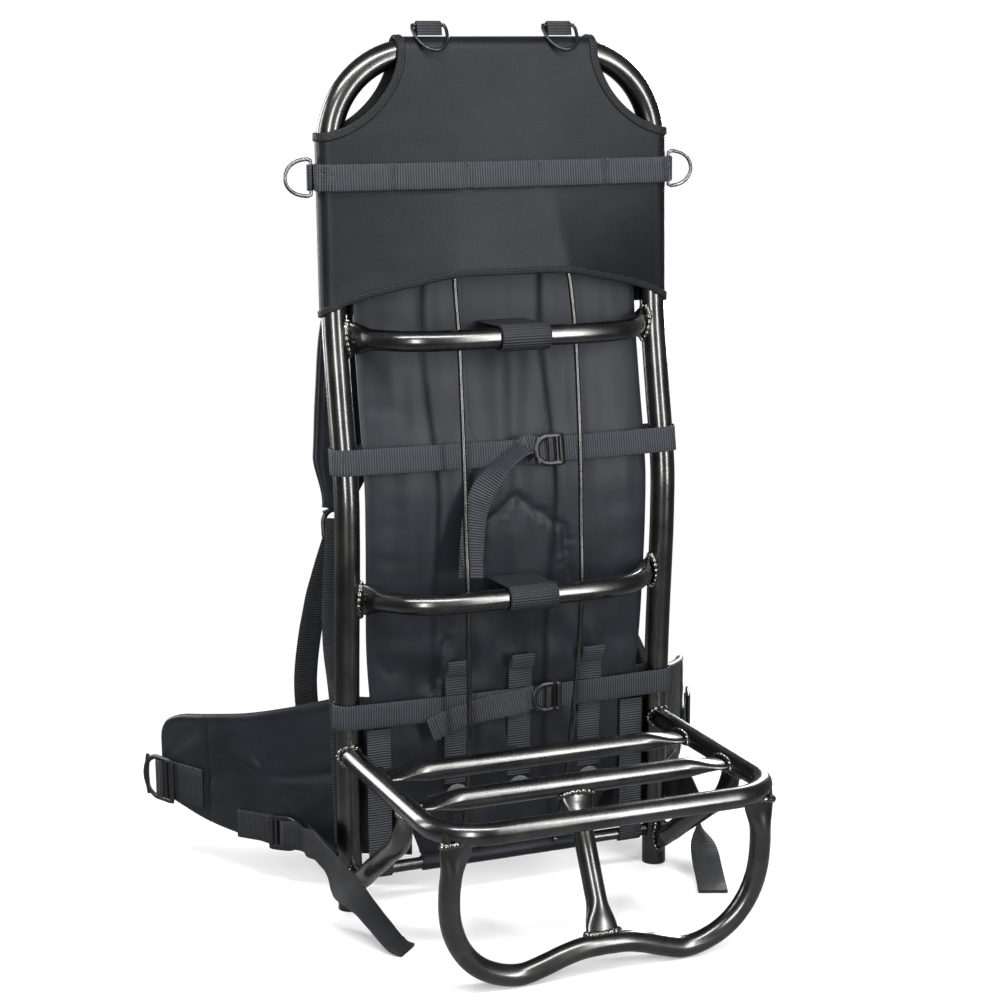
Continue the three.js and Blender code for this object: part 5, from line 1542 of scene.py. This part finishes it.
def beltFittings(name, side):
    height = fittings["buckleZ"]
    off = wingSkin + webbing["thick"] / 2 + touching
    route = [onWing(side, t, height, off) for t in spaced(*fittings["tab"], 30)]
    bm = bmesh.new()
    strap(bm, route, webbing["belt"], across=up)
    addPiece(f"{name}_belt_tab", bm, darkWebbing, [f"belt_tab_{name}"])
    bm = bmesh.new()
    for (t0, h0), (t1, h1) in zip(fittings["tabBox"], fittings["tabBox"][1:]):
        stitches(bm, [onWing(side, mix(t0, t1, k), height + mix(h0, h1, k) * webbing["belt"], off + 0.9)
                      for k in spaced(0, 1, 8)])
    levels = spaced(0.06, 0.96, 12)
    for h0, h1 in zip(levels, levels[1:]):
        stitches(bm, [wingPoint(side, wings["seam"] + 0.012, mix(h0, h1, k), wingSkin - 0.1)
                      for k in (0, 0.5, 1)])
    addPiece(f"{name}_belt_tab_stitches", bm, thread)
    bm = bmesh.new()  # tab that holds the adjuster, sewn in a crossed box
    tabZ = fittings["webZ"] + fittings["hipTabRaised"]
    flat = [onWing(side, t, tabZ, wingSkin + webbing["thick"] / 2) for t in spaced(*fittings["hipTab"], 20)]
    strap(bm, flat, webbing["hip"], across=up, uneven=0)
    addPiece(f"{name}_hip_tab", bm, darkWebbing)
    bm = bmesh.new()
    for (t0, h0), (t1, h1) in zip(fittings["hipBox"], fittings["hipBox"][1:]):
        stitches(bm, [onWing(side, mix(t0, t1, k), tabZ + mix(h0, h1, k), wingSkin + 1.8)
                      for k in spaced(0, 1, 6)])
    addPiece(f"{name}_hip_tab_stitches", bm, thread)
    run, out = wingFrame(side, fittings["tip"])
    seat = onWing(side, fittings["tip"], height, wingSkin + webbing["thick"] + 3 * touching)
    place = turnTo(seat + run * 0.2 * webbing["belt"], -run, out)
    buckle(f"{name}_belt_ladder_lock", f"belt_buckle_{name}", webbing["belt"], place, greyWebbing)
    run, out = wingFrame(side, fittings["adjust"])
    place = turnTo(onWing(side, fittings["adjust"], fittings["webZ"], wingSkin + touching), run, out)
    buckle(f"{name}_hip_ladder_lock", f"belt_adjuster_{name}", webbing["hip"], place, greyWebbing)
    anchor = Vector((side * (tubing["width"] + webbing["thick"]) / 2, webbing["thick"], fittings["anchorZ"]))
    start = onWing(side, fittings["adjust"] - 0.06, fittings["webZ"], wingSkin + touching)
    middle = start.lerp(anchor, 0.5) - back * webbing["thick"]
    bm = bmesh.new()
    strap(bm, curveThrough([start, middle, anchor], 30), webbing["width"], across=up, uneven=0.6)
    addPiece(f"{name}_hip_webbing", bm, darkWebbing, [f"hip_web_{name}"])
    hipTail(name, side)


for sideName, sideSign in sides:
    beltFittings(sideName, sideSign)
print("belt fittings made")


# Shoulder straps: shares of the half gauge, of the arc and of the top's height

shoulders = {
    "width": 62, "thick": 9, "edge": 2.4, "arc": 112, "top": 630, "end": (0.85, 0.87, 0.589),
    "seam": 1.2, "soft": 0.9, "pulled": 0.7,
    "pad": [(0.34, 0.152, 0.86), (0.37, 0.22, 0.905), (0.41, 0.38, 0.959), (0.49, 0.6, 1),
            (0.61, 0.85, 0.984), (0.71, 0.97, 0.913), (0.755, 1, 0.794), (0.79, 0.96, 0.683),
            (0.845, 0.885, 0.611)],
    "tail": [(0.85, 0.903, 0.574), (0.95, 1.054, 0.46), (1, 1.214, 0.318), (0.96, 1.268, 0.203)],
}
shoulders["web"] = [(0.848, 0.859, 0.597), (0.93, 0.643, 0.416), (0.975, 0.27, 0.328), (0.985, 0.19, 0.22),
                    (0.99, (tubeRadius + webbing["thick"] / 2) / shoulders["arc"], 0.1)]


def onShoulder(side, row):
    x, y, z = row
    return Vector((side * x * halfGauge, y * shoulders["arc"], z * shoulders["top"]))


def shoulder(name, side):
    steps = 120
    curve = curveThrough([onShoulder(side, row) for row in shoulders["pad"]], steps)
    runs = tangents(curve)

    def at(u, v):
        share = (v + 1) / 2
        i = min(round(share * steps), steps)
        w = (right - runs[i] * runs[i].x).normalized()
        taper = 1 - 0.5 * smoothstep(share, 0.86, 1) - 0.25 * smoothstep(1 - share, 0.85, 1)
        wall = mix(shoulders["edge"], shoulders["thick"], pillow(v, u))
        return curve[i] + w * u * taper * shoulders["width"] / 2, w.cross(runs[i]), wall

    def relief(u, v, sign):
        edge = inside(u, v)
        seam = -shoulders["seam"] * math.exp(-((abs(u) - 0.8) / 0.05) ** 2)
        soft = shoulders["soft"] * noise.noise(Vector((u * 2, v * 9, 6 + side)))
        return (seam + soft - shoulders["pulled"]) * edge
    padBody(f"{name}_shoulder_cushion", f"shoulder_pad_{name}", 32, steps, at, relief)
    for kind, piece in (("web", "webbing"), ("tail", "loose_end")):
        bm = bmesh.new()
        route = curveThrough([onShoulder(side, row) for row in shoulders[kind]], 70)
        strap(bm, route, webbing["width"], across=right, uneven=1)
        addPiece(f"{name}_shoulder_{piece}", bm, darkWebbing, [f"shoulder_{kind}_{name}"])
    place = turnTo(onShoulder(side, shoulders["end"]), Vector((0, -0.1, -1)), Vector((0, 1, -0.1)))
    buckle(f"{name}_shoulder_ladder_lock", f"shoulder_buckle_{name}", webbing["width"], place, darkWebbing)


for sideName, sideSign in sides:
    shoulder(sideName, sideSign)
print("shoulder straps made")
